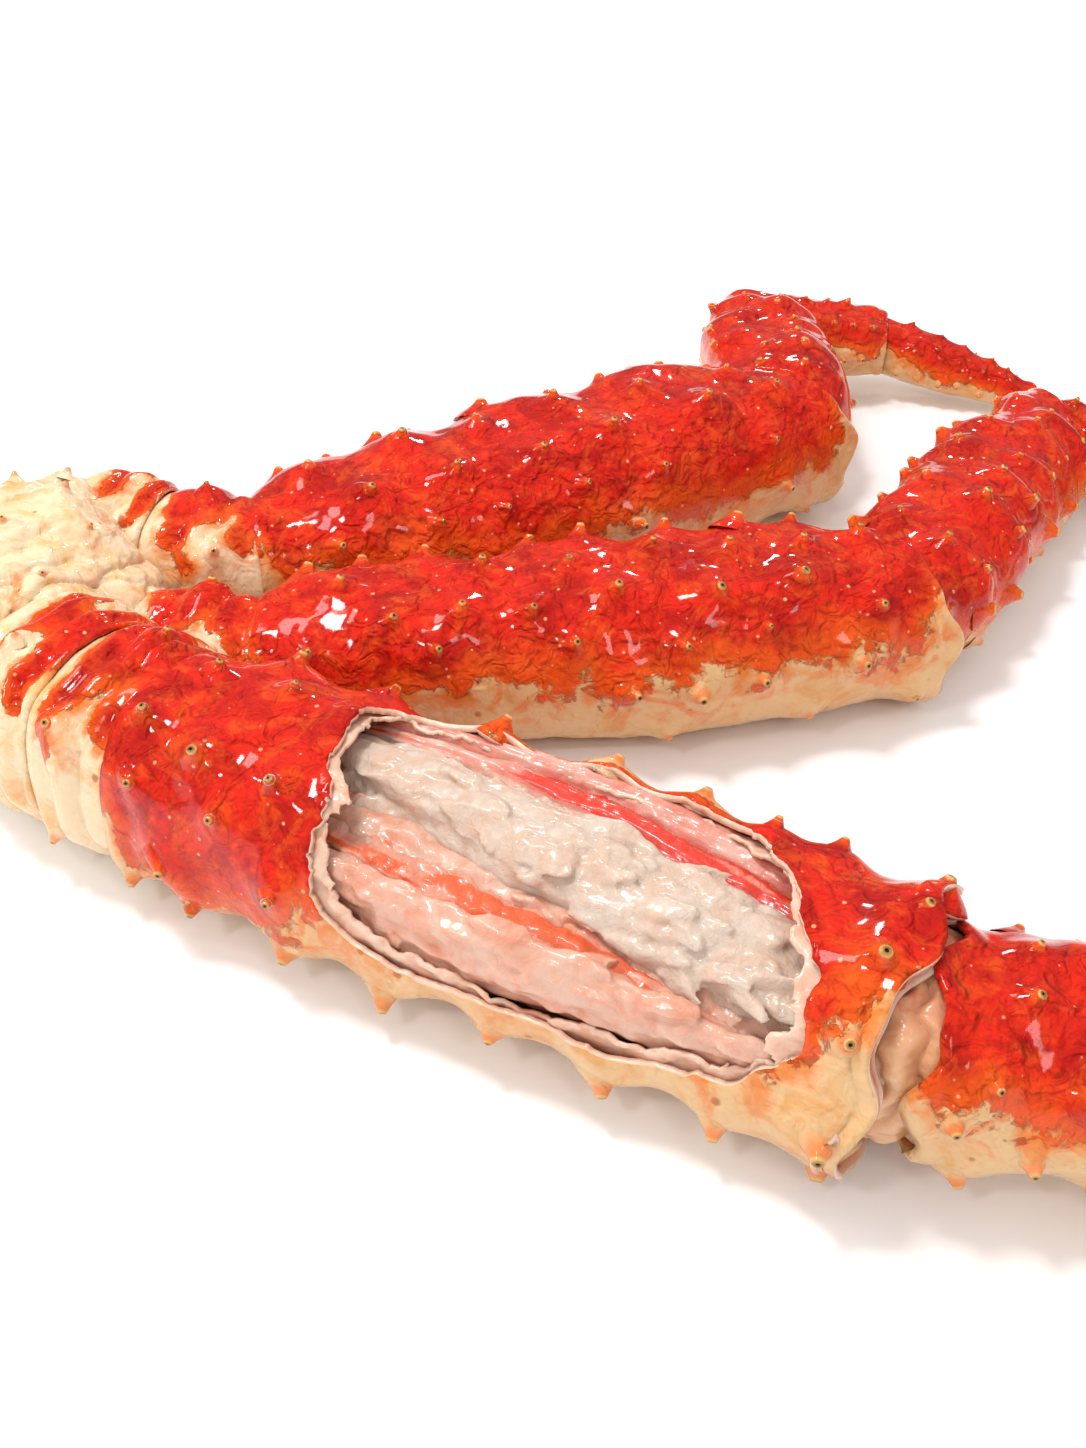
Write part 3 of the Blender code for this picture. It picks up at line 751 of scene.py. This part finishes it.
def shell_table(segment, far_end=FAR_END):
    """Tables of t, degrees and size over a whole skin."""
    length = segment.length
    near_end = SOCKET_END if segment.name == "front_carpus" else NEAR_END
    first, last = near_end[-1][0] * MM / length, 1 - far_end[0][0] * MM / length
    body = np.linspace(first, last, round(length * (last - first) / SMALL))[1:-1]
    near_t = [away * MM / length for away, _ in near_end]
    far_t = [1 - away * MM / length for away, _ in far_end]
    grown = 0.99 + 0.01 * smooth_step(first, first + 0.06, body)
    t = np.concatenate([near_t, body, far_t])
    size = np.concatenate([[size for _, size in near_end], grown, [size for _, size in far_end]])
    girth = 2 * math.pi * math.sqrt((segment.widths[1] ** 2 + segment.heights[1] ** 2) / 2)
    t, degrees = np.meshgrid(t, around(round(girth / SMALL)), indexing="ij")
    return t, degrees, np.repeat(size[:, None], degrees.shape[1], axis=1)


def swellings(segment, points):
    """The low mound under each spine."""
    lift = np.zeros(points.shape[:-1])
    for t, degrees, height in spine_places(segment):
        away = np.linalg.norm(points - segment.skin(t, degrees), axis=-1)
        lift += 0.60 * height * np.exp(-((away / (1.35 * height)) ** 2))
    return lift


def relief(segment, points, t, degrees, size):
    """How far each point of the skin stands off the plain section."""
    lift = 0.55 * MM * rough(points, 17 * MM, 2) + 0.22 * MM * rough(points, 5 * MM, 2, 7.0)
    if segment.kind in FOLDS:
        lift = lift + folds(segment, t, degrees)
    if segment.kind == "merus":
        far_end = smooth_step(13, 1, (1 - t) * segment.length / MM)
        lift = lift + 2.0 * MM * hump((degrees + 90) % 360, 42, 30) * far_end
    lift = lift + swellings(segment, points)
    return lift * smooth_step(0.7, 0.95, size)


def lobed(segment, t, degrees):
    """The far rim of a long shell runs out in blunt lobes, and so does the near rim of the front
    carpus. On its far side the front merus also reaches further over the knee."""
    wave = np.sin(np.radians(5 * degrees + 30)) + 0.5 * np.sin(np.radians(9 * degrees))
    if segment.kind == "merus":
        t = t + 1.3 * MM / segment.length * wave * smooth_step(0.88, 0.99, t)
    if segment.name == "front_merus":
        tongue = hump(degrees, 128, 48) * smooth_step(0.90, 1.0, t)
        return t + 8.5 * MM / segment.length * tongue
    if segment.name == "front_carpus":
        return t - 1.6 * MM / segment.length * wave * smooth_step(0.16, 0.05, t)
    return t


def raise_skin(segment, t, degrees, size):
    """Points of the finished skin over tables of t, degrees and size."""
    points = segment.skin(lobed(segment, t, degrees), degrees, size)
    centres = segment.start + segment.axis * (segment.length * t)[..., None]
    lift = relief(segment, points, t, degrees, size)
    points = points + sheet_normals(points, centres) * lift[..., None]
    keep_above(points, SHELL_FLOOR)
    return points


def stand_spines(skin_bm, segment, wanted=None):
    """Stands a spine on each swelling, or on those that are wanted."""
    draw = random.Random(segment.name + " lean")
    bm = empty_bmesh("spine", "pale")
    for t, degrees, height in spine_places(segment):
        if wanted and not wanted(t, degrees):
            continue
        outward = segment.normal(t, degrees)
        lean = Vector(tuple(outward)) + Vector(tuple(segment.axis)) * 0.22
        lean += Vector([draw.uniform(-0.16, 0.16) for _ in range(3)])
        foot = Vector(tuple(segment.skin(t, degrees) + outward * height * 0.42))
        pale = float(paleness(segment, np.array(t), np.array(degrees)))
        width = height * draw.uniform(0.46, 0.58)
        add_spine(bm, foot, lean, height * draw.uniform(0.54, 0.76), width, pale)
    pour(bm, skin_bm)


def make_shell(segment, material):
    t, degrees, size = shell_table(segment)
    values = {"pale": paleness(segment, t, degrees), "spine": np.zeros(t.shape)}
    bm = rolled(raise_skin(segment, t, degrees, size), values)
    stand_spines(bm, segment)
    return finish_piece(bm, f"{segment.name}_shell", [material], [segment.name])


for segment in SEGMENTS.values():
    if segment.name != "front_merus":
        look = PALE_SHELL if segment.kind in ("basis", "ischium") else COOKED_SHELL
        shell = make_shell(segment, look)
        say_faces(shell)

# %% [markdown]
# ## The torn shell
# The front merus is a tube with a hole torn in its top and near side. The hole's outline is a
# formula on the unrolled shell: a soft-cornered box whose distance is pushed in and out by noise.
# Faces inside it are deleted, and the points on its edge slide along the skin until they lie on
# the outline, so the tear is ragged but clean. A Solidify modifier gives the shell its thickness,
# and its cut edge and its inside get the lining's look.

# %% The outline of the tear
MERUS = SEGMENTS["front_merus"]
OPENING_START, OPENING_END = 0.31, 0.90
OPENING_NEAR, OPENING_FAR = -10.0, 132.0
DEGREE = 0.47 * MM  # along the merus's skin
BOX = ((OPENING_END - OPENING_START) / 2 * MERUS.length, (OPENING_FAR - OPENING_NEAR) / 2 * DEGREE)
BOX_CORNERS = 4.0
BOX_SKEW = 0.42  # on its far side the hole starts and ends nearer to the shoulder
NUDGE, LONGEST_MOVE, FLATTEST = 0.2 * MM, 0.7 * MM, 0.3


def tear(wander, seed, inset=0.0):
    """A formula for the distance from the tear's edge along the skin, negative in the hole. An
    inset makes the hole smaller."""
    def gap(t, degrees):
        x = (t - (OPENING_START + OPENING_END) / 2) * MERUS.length
        y = (degrees - (OPENING_NEAR + OPENING_FAR) / 2) * DEGREE
        x = x + BOX_SKEW * np.maximum(y, 0)
        away = np.abs(x / (BOX[0] - inset)) ** BOX_CORNERS
        away = away + np.abs(y / (BOX[1] - inset)) ** BOX_CORNERS
        away = (away ** (1 / BOX_CORNERS) - 1) * BOX[1]
        flat = np.stack([x, y, np.full_like(x, 0.1)], axis=-1)
        ragged = 1.6 * rough(flat, 13 * MM, 2, seed) + 0.7 * rough(flat, 3.5 * MM, 3, seed + 5)
        return away + wander * ragged * MM

    return gap


SHELL_TEAR = tear(1.0, 11.0)


def torn_sheet(gap, points_of, values_of):
    """The merus's skin with the hole, from formulas for its edge, its points and its values."""
    t, degrees, size = shell_table(MERUS, OPEN_END)
    gone = gap((t[:-1, :-1] + t[1:, 1:]) / 2, (degrees[:-1, :-1] + degrees[1:, 1:]) / 2) < 0
    gone_round, kept_round = np.zeros(t.shape, int), np.zeros(t.shape, int)
    for down in (0, 1):
        for across in (0, 1):
            block = (slice(down, t.shape[0] - 1 + down), slice(across, t.shape[1] - 1 + across))
            gone_round[block] += gone
            kept_round[block] += ~gone
    edge = (gone_round > 0) & (kept_round > 0)
    for _ in range(3):
        edge_t, edge_degrees = t[edge], degrees[edge]
        here = gap(edge_t, edge_degrees)
        slope_t = (gap(edge_t + NUDGE / MERUS.length, edge_degrees) - here) / NUDGE
        slope_round = (gap(edge_t, edge_degrees + NUDGE / DEGREE) - here) / NUDGE
        steep = np.maximum(slope_t**2 + slope_round**2, FLATTEST)
        move = np.clip(here / steep, -LONGEST_MOVE, LONGEST_MOVE)
        t[edge] -= move * slope_t / MERUS.length
        degrees[edge] -= move * slope_round / DEGREE
    return rolled(points_of(t, degrees, size), values_of(t, degrees), gone)


# %% The shell with the tear
SHELL_WALL = 1.3 * MM


def torn_shell():
    def values_of(t, degrees):
        none = np.zeros(t.shape)
        return {"pale": paleness(MERUS, t, degrees), "spine": none, "stain": none}

    def on_shell(t, degrees):
        return float(SHELL_TEAR(np.array([t]), np.array([degrees]))[0]) > 1.0 * MM

    bm = torn_sheet(SHELL_TEAR, lambda *places: raise_skin(MERUS, *places), values_of)
    stand_spines(bm, MERUS, on_shell)
    piece = finish_piece(bm, "front_merus_shell", [COOKED_SHELL, SHELL_LINING], ["front_merus"])
    wall = give_wall(piece, SHELL_WALL)
    wall.material_offset = 1
    wall.material_offset_rim = 1
    return piece


front_merus_shell = torn_shell()
say_faces(front_merus_shell)

# %% [markdown]
# ## The lining
# Inside the hard shell lies a thin pale skin. Where the shell is torn it hangs a few millimetres
# past the red edge in ruffles. It is the same rolled sheet, a little smaller, with a smaller hole
# and its own tear.

# %% The lining and its ruffled edge
LINING_WALL, LINING_FLOOR = 0.8 * MM, 1.6
LINING_TEAR = tear(1.5, 31.0, 1.6 * MM)


def lining():
    def unrolled(t, degrees):
        return np.stack([t * MERUS.length, degrees * DEGREE, t * 0], axis=-1)

    def points_of(t, degrees, size):
        near_edge = hump(LINING_TEAR(t, degrees), 0.0, 3.5 * MM)
        ruffle = rough(unrolled(t, degrees), 4.5 * MM, 3, 17.0)
        grow = -1.5 * MM + near_edge * (0.1 + 1.2 * ruffle) * MM
        points = MERUS.skin(lobed(MERUS, t, degrees), degrees, np.minimum(size, 1.0), grow)
        keep_above(points, LINING_FLOOR)
        return points

    def values_of(t, degrees):
        patches = rough(unrolled(t, degrees), 22 * MM, 2, 23.0)
        return {"stain": 0.12 + 0.5 * smooth_step(0.1, 0.9, patches)}

    bm = torn_sheet(LINING_TEAR, points_of, values_of)
    piece = finish_piece(bm, "front_merus_lining", [SHELL_LINING])
    give_wall(piece, LINING_WALL)
    return piece


front_merus_lining = lining()
say_faces(front_merus_lining)

# %% [markdown]
# ## The meat
# Crab meat is bundles of long fibres that part in flakes. Each bundle is a rolled sheet that
# follows its own path along the shell's hollow. Noise that is stretched along the leg makes the
# fibres, and a stepped noise makes the flakes' ragged shelves. The big white bundle drifts from
# the far side to the near side towards the knee.

# %% A fibrous bundle
FINE = 0.75 * MM  # the width of a face of the meat
MEAT_FLOOR = 2.2
HOLLOW_GAP = 2.4 * MM
BUNDLE_TAPER, BUNDLE_ROUND = 0.34, 0.9


def run(values, share):
    """A smooth run through evenly spaced values along the share from 0 to 1."""
    place = np.interp(share, np.linspace(0, 1, len(values)), np.arange(len(values)))
    low = np.clip(np.floor(place).astype(int), 0, len(values) - 2)
    part = smooth_step(0, 1, place - low)
    values = np.asarray(values, float)
    return values[low] * (1 - part) + values[low + 1] * part


def bundle(path, first, last, flake, fibre, lump, stain, seed):
    """One bundle. The path gives x, y, half width and half height, as shares of the hollow."""
    x, y, wide, high = zip(*path)
    rows = round((last - first) * MERUS.length / FINE)
    widest = max(max(wide) * MERUS.widths[1], max(high) * MERUS.heights[1])
    columns = round(2 * math.pi * 0.8 * widest / FINE)
    share, degrees = np.meshgrid(np.linspace(0, 1, rows + 1), around(columns), indexing="ij")
    t = first + (last - first) * share
    c, s = np.cos(np.radians(degrees)), np.sin(np.radians(degrees))
    swell = np.sin(math.pi * np.clip(share, 0, 1)) ** BUNDLE_TAPER
    middles = MERUS.start + MERUS.axis * (t * MERUS.length)[..., None]
    points = middles
    for middle, reach, wave, sizes, direction in (
        (x, wide, c, MERUS.widths, MERUS.side), (y, high, s, MERUS.heights, MERUS.up),
    ):
        hollow = through(sizes, t) - HOLLOW_GAP
        off = run(middle, share) * hollow
        out = np.sign(wave) * np.abs(wave) ** BUNDLE_ROUND * run(reach, share) * hollow * swell
        middles = middles + direction * off[..., None]
        points = points + direction * (off + out)[..., None]
    size = max(wide + high) * MERUS.widths[1]
    warp = 0.25 * rough(points, 11 * MM, 2, seed + 40) * MM
    flat = np.stack([t * MERUS.length / 9 + warp * 4, c * size + warp * 3, s * size], axis=-1)
    fibres = rough(flat, 1.5 * MM, 2, seed)
    shelves = rough(flat * [2.0, 1, 1], 7.0 * MM, 2, seed + 9) * 3.0
    step = np.floor(shelves)
    shelves = (step + smooth_step(0.55, 0.95, shelves - step)) / 3.0
    lumps = rough(points, 4.0 * MM, 3, seed + 21)
    lift = (flake * shelves + fibre * fibres + lump * lumps) * MM
    lift = lift * smooth_step(0.0, 0.06, share) * smooth_step(1.0, 0.94, share)
    points = points + sheet_normals(points, middles) * lift[..., None]
    keep_above(points, MEAT_FLOOR)
    patches = rough(flat, 6 * MM, 2, seed + 3)
    bm = rolled(points, {"stain": np.clip(stain(share, degrees, patches), 0, 1)})
    close_up(bm)
    return bm


def add_flakes(bm, count, seed):
    """Thin petals half sunk in the meat's upper side, laid along the fibres, one end lifted."""
    draw = random.Random(seed)
    bm.normal_update()
    top = [(vert.co.copy(), vert.normal.copy()) for vert in bm.verts if vert.normal.z > 0.05]
    axis, side = Vector(tuple(MERUS.axis)), Vector(tuple(MERUS.side))
    petals = empty_bmesh("stain")
    for _ in range(count):
        foot, out = draw.choice(top)
        along = axis + side * draw.uniform(-0.25, 0.45) + out * draw.uniform(-0.10, 0.22)
        along.normalize()
        out = (out - along * out.dot(along)).normalized()
        lengths = (draw.uniform(0.8, 1.8), draw.uniform(2.5, 6.0), draw.uniform(5.0, 10.0))
        length = draw.choice(lengths) * MM
        width = length * draw.uniform(0.22, 0.45)
        size = (length, width, min(length, draw.uniform(0.6, 1.2) * MM), 1)
        turn = Matrix((along, out.cross(along), out)).transposed().to_4x4()
        place = Matrix.Translation(foot + out * 0.1 * MM) @ turn @ Matrix.Diagonal(size)
        bmesh.ops.create_icosphere(petals, subdivisions=3, radius=1.0, matrix=place)
    points = np.array([vert.co for vert in petals.verts])
    for i, shift in enumerate((0.0, 30.0, 60.0)):
        points[:, i] += 0.75 * MM * rough(points, 2.4 * MM, 3, seed + shift)
    place_points(petals, points)
    pour(petals, bm)


def meat_piece(name, material, replaced, bundles, flakes=0):
    bm = empty_bmesh("stain")
    for values in bundles:
        pour(bundle(*values), bm)
    if flakes:
        add_flakes(bm, flakes, 5)
    return finish_piece(bm, name, [material], replaced)


def fuse(piece, voxel, rounds):
    """Melts the overlapping petals into one soft surface."""
    melt = piece.modifiers.new("fuse", "REMESH")
    melt.mode = "VOXEL"
    melt.voxel_size = voxel
    melt.use_smooth_shade = True
    soften = piece.modifiers.new("soften", "SMOOTH")
    soften.factor = 0.5
    soften.iterations = rounds


# %% The big white bundle
def no_stain(share, degrees, patches):
    return 0.10 + 0.15 * patches


WHITE_PATH = [(-0.30, 0.42, 0.34, 0.50), (-0.16, 0.45, 0.38, 0.50), (0.02, 0.44, 0.44, 0.52),
              (0.18, 0.38, 0.50, 0.58), (0.34, 0.28, 0.56, 0.62)]
white_meat = meat_piece("front_white_meat", WHITE_MEAT, ["front_white_muscle"], [
    (WHITE_PATH, 0.20, 0.955, 1.5, 0.25, 0.40, no_stain, 2.0),
], flakes=230)
fuse(white_meat, 0.5 * MM, 6)
say_faces(white_meat)


# %% The red-skinned bundle along the far side, and the paler one beside it
def red_back(share, degrees, patches):
    return 0.66 * hump(degrees, 95, 55) * hump(share, 0.60, 0.42) + 0.62 * patches + 0.08


def faint(share, degrees, patches):
    return 0.30 + 0.30 * patches


RED_PATH = [(-0.64, 0.58, 0.14, 0.22), (-0.58, 0.62, 0.16, 0.22), (-0.48, 0.62, 0.17, 0.24),
            (-0.34, 0.58, 0.17, 0.26), (-0.12, 0.52, 0.18, 0.28)]
PALER_PATH = [(-0.78, 0.44, 0.14, 0.42), (-0.74, 0.46, 0.18, 0.44), (-0.50, 0.44, 0.34, 0.48)]
red_meat = meat_piece("front_red_skinned_meat", RED_SKINNED_MEAT, ["front_skinned_muscle"], [
    (RED_PATH, 0.24, 0.93, 0.5, 0.5, 0.4, red_back, 5.0),
    (PALER_PATH, 0.14, 0.965, 0.6, 0.4, 0.5, faint, 8.0),
])
say_faces(red_meat)


# %% The near bundles, pink and white with an orange-red streak
def streak(share, degrees, patches):
    return 0.40 * hump(degrees, 70, 42) * hump(share, 0.46, 0.34) + 0.70 * patches + 0.14


def pinkish(share, degrees, patches):
    return 0.24 + 0.42 * patches


STREAKED_PATH = [(0.46, 0.26, 0.24, 0.36), (0.62, 0.14, 0.24, 0.36), (0.78, -0.06, 0.18, 0.32)]
streaked_meat = meat_piece("front_streaked_meat", PINK_MEAT, [], [
    (STREAKED_PATH, 0.20, 0.93, 1.1, 0.6, 1.1, streak, 12.0),
])
say_faces(streaked_meat)

NEAR_PATH = [(0.79, 0.26, 0.15, 0.34), (0.84, 0.13, 0.16, 0.36), (0.88, 0.02, 0.13, 0.32)]
MIDDLE_PATH = [(0.16, 0.28, 0.28, 0.40), (0.42, 0.16, 0.24, 0.38), (0.66, -0.02, 0.16, 0.30)]
BED_PATH = [(0.05, -0.24, 0.88, 0.58), (0.05, -0.16, 0.90, 0.58), (0.08, 0.14, 0.86, 0.66)]
near_meat = meat_piece("front_near_meat", PINK_MEAT, ["front_near_muscle"], [
    (NEAR_PATH, 0.20, 0.95, 0.9, 0.8, 0.8, pinkish, 15.0),
    (MIDDLE_PATH, 0.18, 0.94, 1.0, 0.5, 0.7, pinkish, 18.0),
    (BED_PATH, 0.06, 0.975, 0.8, 0.5, 0.5, pinkish, 25.0),
], flakes=110)
fuse(near_meat, 0.55 * MM, 4)
say_faces(near_meat)

# %% [markdown]
# ## The knee's skin
# Between the torn merus and the carpus the stiff shell stops, and a soft skin bends in its place.
# It is a rolled sheet again: it runs from the merus's section to the carpus's, over a few folds
# that noise makes uneven.

# %% The knee's folded skin
CARPUS = SEGMENTS["front_carpus"]
KNEE_REACH = 9.0 * MM
KNEE_ROWS, KNEE_COLUMNS = 56, 299
KNEE_FLOOR = 0.4
FOLD_SPACING = 5.2 * MM


def knee_skin():
    along = np.linspace(-KNEE_REACH, KNEE_REACH, KNEE_ROWS)
    along, degrees = np.meshgrid(along, around(KNEE_COLUMNS), indexing="ij")
    share = smooth_step(-4 * MM, 4 * MM, along)[..., None]
    one, none = np.ones(along.shape), np.zeros(along.shape)
    before = MERUS.skin(one, degrees) + MERUS.axis * along[..., None]
    after = CARPUS.skin(none, degrees) + CARPUS.axis * along[..., None]
    rim = before * (1 - share) + after * share
    centre = MERUS.end + (MERUS.axis * (1 - share) + CARPUS.axis * share) * along[..., None]
    angle = np.radians(degrees)
    ring = np.stack([np.cos(angle), np.sin(angle), along / (30 * MM)], axis=-1)
    drift = rough(ring, 0.55, 2, 4.0)
    wave = np.abs(np.sin(math.pi * (along / FOLD_SPACING + 1.1 * drift))) ** 0.6 * 2 - 1.4
    creases = rough(ring * [5.0, 5.0, 3.0], 1.0, 3, 9.0)
    size = 0.90 + 0.05 * wave + 0.028 * creases - 0.04 * hump(degrees, 90, 40)
    points = centre + (rim - centre) * size[..., None]
    keep_above(points, KNEE_FLOOR)
    stain = 0.12 + 0.22 * smooth_step(0.3, 0.8, drift) + 0.34 * smooth_step(15, 70, degrees)
    return finish_piece(rolled(points, {"stain": stain}), "front_knee", [JOINT_SKIN],
                        ["front_knee_skin"])


front_knee = knee_skin()
say_faces(front_knee)

# %% [markdown]
# ## The shoulder
# The three legs grow out of a pale lump of fused plates. A fine ball is moved outwards along its
# own rays until it meets a few round masses that are melted together. Rolls that ring each leg's
# root, noise, and knobs with small dark tips are added on the way, so the lump reads as folded
# shell and skin.

# %% The shoulder's shape
SHOULDER_CENTRE = np.array([-4.0, 0.0, 23.0]) * MM
SHOULDER_BALLS = [
    ((-3, 0, 24), 26.5), ((-22, 8, 22), 19), ((-22, -12, 23), 20), ((1, -27, 24), 24),
    ((16, -8, 21), 17), ((-4, 25, 20), 18.5), ((-6, -14, 36), 11), ((4, 22, 28), 10),
    ((-18, 17, 27), 11),
]
SHOULDER_MELT, SHOULDER_REACH, SHOULDER_FLOOR = 3.0 * MM, 80 * MM, 0.1
HALVINGS = 22
BLUSH_PLACE, BLUSH_REACH = np.array([8, 38, 34]) * MM, 14 * MM
# Degrees round the vertical, degrees above the floor, and height in millimetres.
KNOBS = [
    (35, 62, 4.0), (75, 38, 4.5), (100, 55, 4.0), (140, 40, 4.5), (165, 66, 4.0),
    (195, 38, 4.0), (225, 60, 4.5), (258, 46, 4.0), (285, 72, 3.5), (300, 42, 3.0),
    (355, 50, 3.0), (120, 18, 4.0), (178, 10, 4.0), (232, 14, 4.0),
]


def melted(points):
    """Distance from the melted masses, negative inside."""
    total = np.zeros(points.shape[0])
    for centre, radius in SHOULDER_BALLS:
        away = np.linalg.norm(points - np.array(centre) * MM, axis=1) - radius * MM
        total += np.exp(-away / SHOULDER_MELT)
    return -SHOULDER_MELT * np.log(total)


def ray_of(turn, up):
    turn, up = math.radians(turn), math.radians(up)
    return np.array([math.cos(turn) * math.cos(up), math.sin(turn) * math.cos(up), math.sin(up)])


def root_rolls(points, drift):
    """Rolls that ring the root of each leg."""
    lift = np.zeros(len(points))
    for leg in LEGS:
        root = SEGMENTS[f"{leg}_{LEGS[leg][0][0]}"]
        away = (points - root.start) @ root.axis
        beside = np.linalg.norm(points - root.start - np.outer(away, root.axis), axis=1)
        ring = np.abs(np.sin(math.pi * (away / (7.0 * MM) + 0.5 * drift))) ** 0.5 - 0.7
        near = hump(beside, root.widths[0] + 2 * MM, 11 * MM) * hump(away, -2 * MM, 15 * MM)
        lift += 2.7 * MM * ring * near
    return lift


def shoulder():
    bm = bmesh.new()
    bmesh.ops.create_icosphere(bm, subdivisions=7, radius=1.0)
    rays = np.array([vert.co.normalized() for vert in bm.verts])
    inside, outside = np.zeros(len(rays)), np.full(len(rays), SHOULDER_REACH)
    for _ in range(HALVINGS):
        middle = (inside + outside) / 2
        within = melted(SHOULDER_CENTRE + rays * middle[:, None]) < 0
        inside, outside = np.where(within, middle, inside), np.where(within, outside, middle)
    points = SHOULDER_CENTRE + rays * inside[:, None]
    drift = rough(points, 16 * MM, 2, 2.0)
    lift = 1.3 * MM * rough(points, 9 * MM, 3, 5.0) + 0.5 * MM * drift + root_rolls(points, drift)
    knobs = [(ray_of(turn, up), height * MM) for turn, up, height in KNOBS]
    for knob, height in knobs:
        apart = np.degrees(np.arccos(np.clip(rays @ knob, -1, 1)))
        lift += height * 0.55 * np.exp(-((apart / 12.0) ** 2))
    points = points + rays * lift[:, None]
    keep_above(points, SHOULDER_FLOOR)
    place_points(bm, points)
    pale = 0.92 - 0.75 * hump(np.linalg.norm(points - BLUSH_PLACE, axis=1), 0, BLUSH_REACH)
    add_values(bm, "pale", np.clip(pale + 0.25 * drift, 0, 1))
    add_values(bm, "spine", np.zeros(len(rays)))
    nubs = empty_bmesh("spine", "pale")
    for knob, height in knobs:
        foot = points[int(np.argmax(rays @ knob))] - knob * 0.3 * MM
        add_spine(nubs, Vector(tuple(foot)), tuple(knob), height * 0.55, height * 0.40, 1.0)
    pour(nubs, bm)
    return finish_piece(bm, "leg_root", [PALE_SHELL], ["shoulder"])


leg_root = shoulder()
say_faces(leg_root)

# %% [markdown]
# ## Floor, light and camera
# The cluster lies on a plain white floor. A small soft key lamp hangs high over it, a weaker
# sheen lamp beside it draws wet highlights on the far legs, and small sparks from the left, the
# back and the near side draw more. A weak fill opens the shadows. The world is bright for what
# lights the shell, but dim in what it reflects, as in a studio whose white walls stand far off.
# The camera looks down at forty degrees from close by.

# %% The floor
floor_bm = bmesh.new()
bmesh.ops.create_grid(floor_bm, x_segments=1, y_segments=1, size=3.0)
floor = stand_in_scene("floor", mesh_of(floor_bm, "floor"))
floor_material, wires, shader = new_material("white floor")
wires.fill(shader, Base_Color=(0.95, 0.95, 0.95), Roughness=0.8, Specular_IOR_Level=0.1)
floor.data.materials.append(floor_material)
floor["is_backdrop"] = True
print("floor:", tuple(round(side, 1) for side in floor.dimensions))

# %% Lights
LIT_PLACE = Vector((0.1, -0.05, 0.0))
# Name, place, size and power.
LAMPS = [
    ("key", (-0.14, 0.04, 1.0), 0.16, 4.6),
    ("sheen", (-0.34, 0.26, 0.92), 0.22, 1.8),
    ("fill", (0.4, -0.7, 0.7), 0.14, 0.6),
    ("left spark", (-0.75, 0.25, 0.55), 0.07, 0.9),
    ("back spark", (0.25, 0.85, 0.5), 0.08, 0.9),
    ("near spark", (-0.22, -0.42, 0.62), 0.07, 0.7),
]
for name, place, size, power in LAMPS:
    lamp = bpy.data.lights.new(name, "AREA")
    lamp.size = size
    lamp.energy = power
    stand = stand_in_scene(name, lamp)
    stand.location = place
    stand.rotation_euler = (LIT_PLACE - Vector(place)).to_track_quat("-Z", "Y").to_euler()

world = bpy.data.worlds.new("studio")
world.use_nodes = True
bpy.context.scene.world = world
wires = Wires(world.node_tree)
reflected = wires.add("ShaderNodeLightPath").outputs["Is Glossy Ray"]
strength = wires.add("ShaderNodeMapRange", None, Value=reflected, To_Min=0.88, To_Max=0.14)
wires.fill(world.node_tree.nodes["Background"], Color=WHITE, Strength=strength.outputs["Result"])
bpy.context.scene.view_settings.view_transform = "Standard"
print("lamps:", len(bpy.data.lights))

# %% The camera
lens = bpy.data.cameras.new("camera")
lens.sensor_fit = "VERTICAL"
lens.sensor_height = 36.0
lens.lens = 37.3
camera = stand_in_scene("camera", lens)
camera.location = (0.1193, -0.2955, 0.233)
camera.rotation_euler = (math.radians(50.0), 0.0, 0.0)
bpy.context.scene.camera = camera
print("camera height:", camera.location.z)

# %% [markdown]
# ## The size
# The dressed cluster's box is printed beside the frame's. The dressed cluster has to
# keep the frame's size.

# %% Print the sizes
sizes = {"frame": [list(corner) for corner in cad_box], "dressed": [list(corner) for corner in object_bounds()]}
for name, (low, high) in sizes.items():
    print(name, [round((b - a) / MM, 1) for a, b in zip(low, high)])
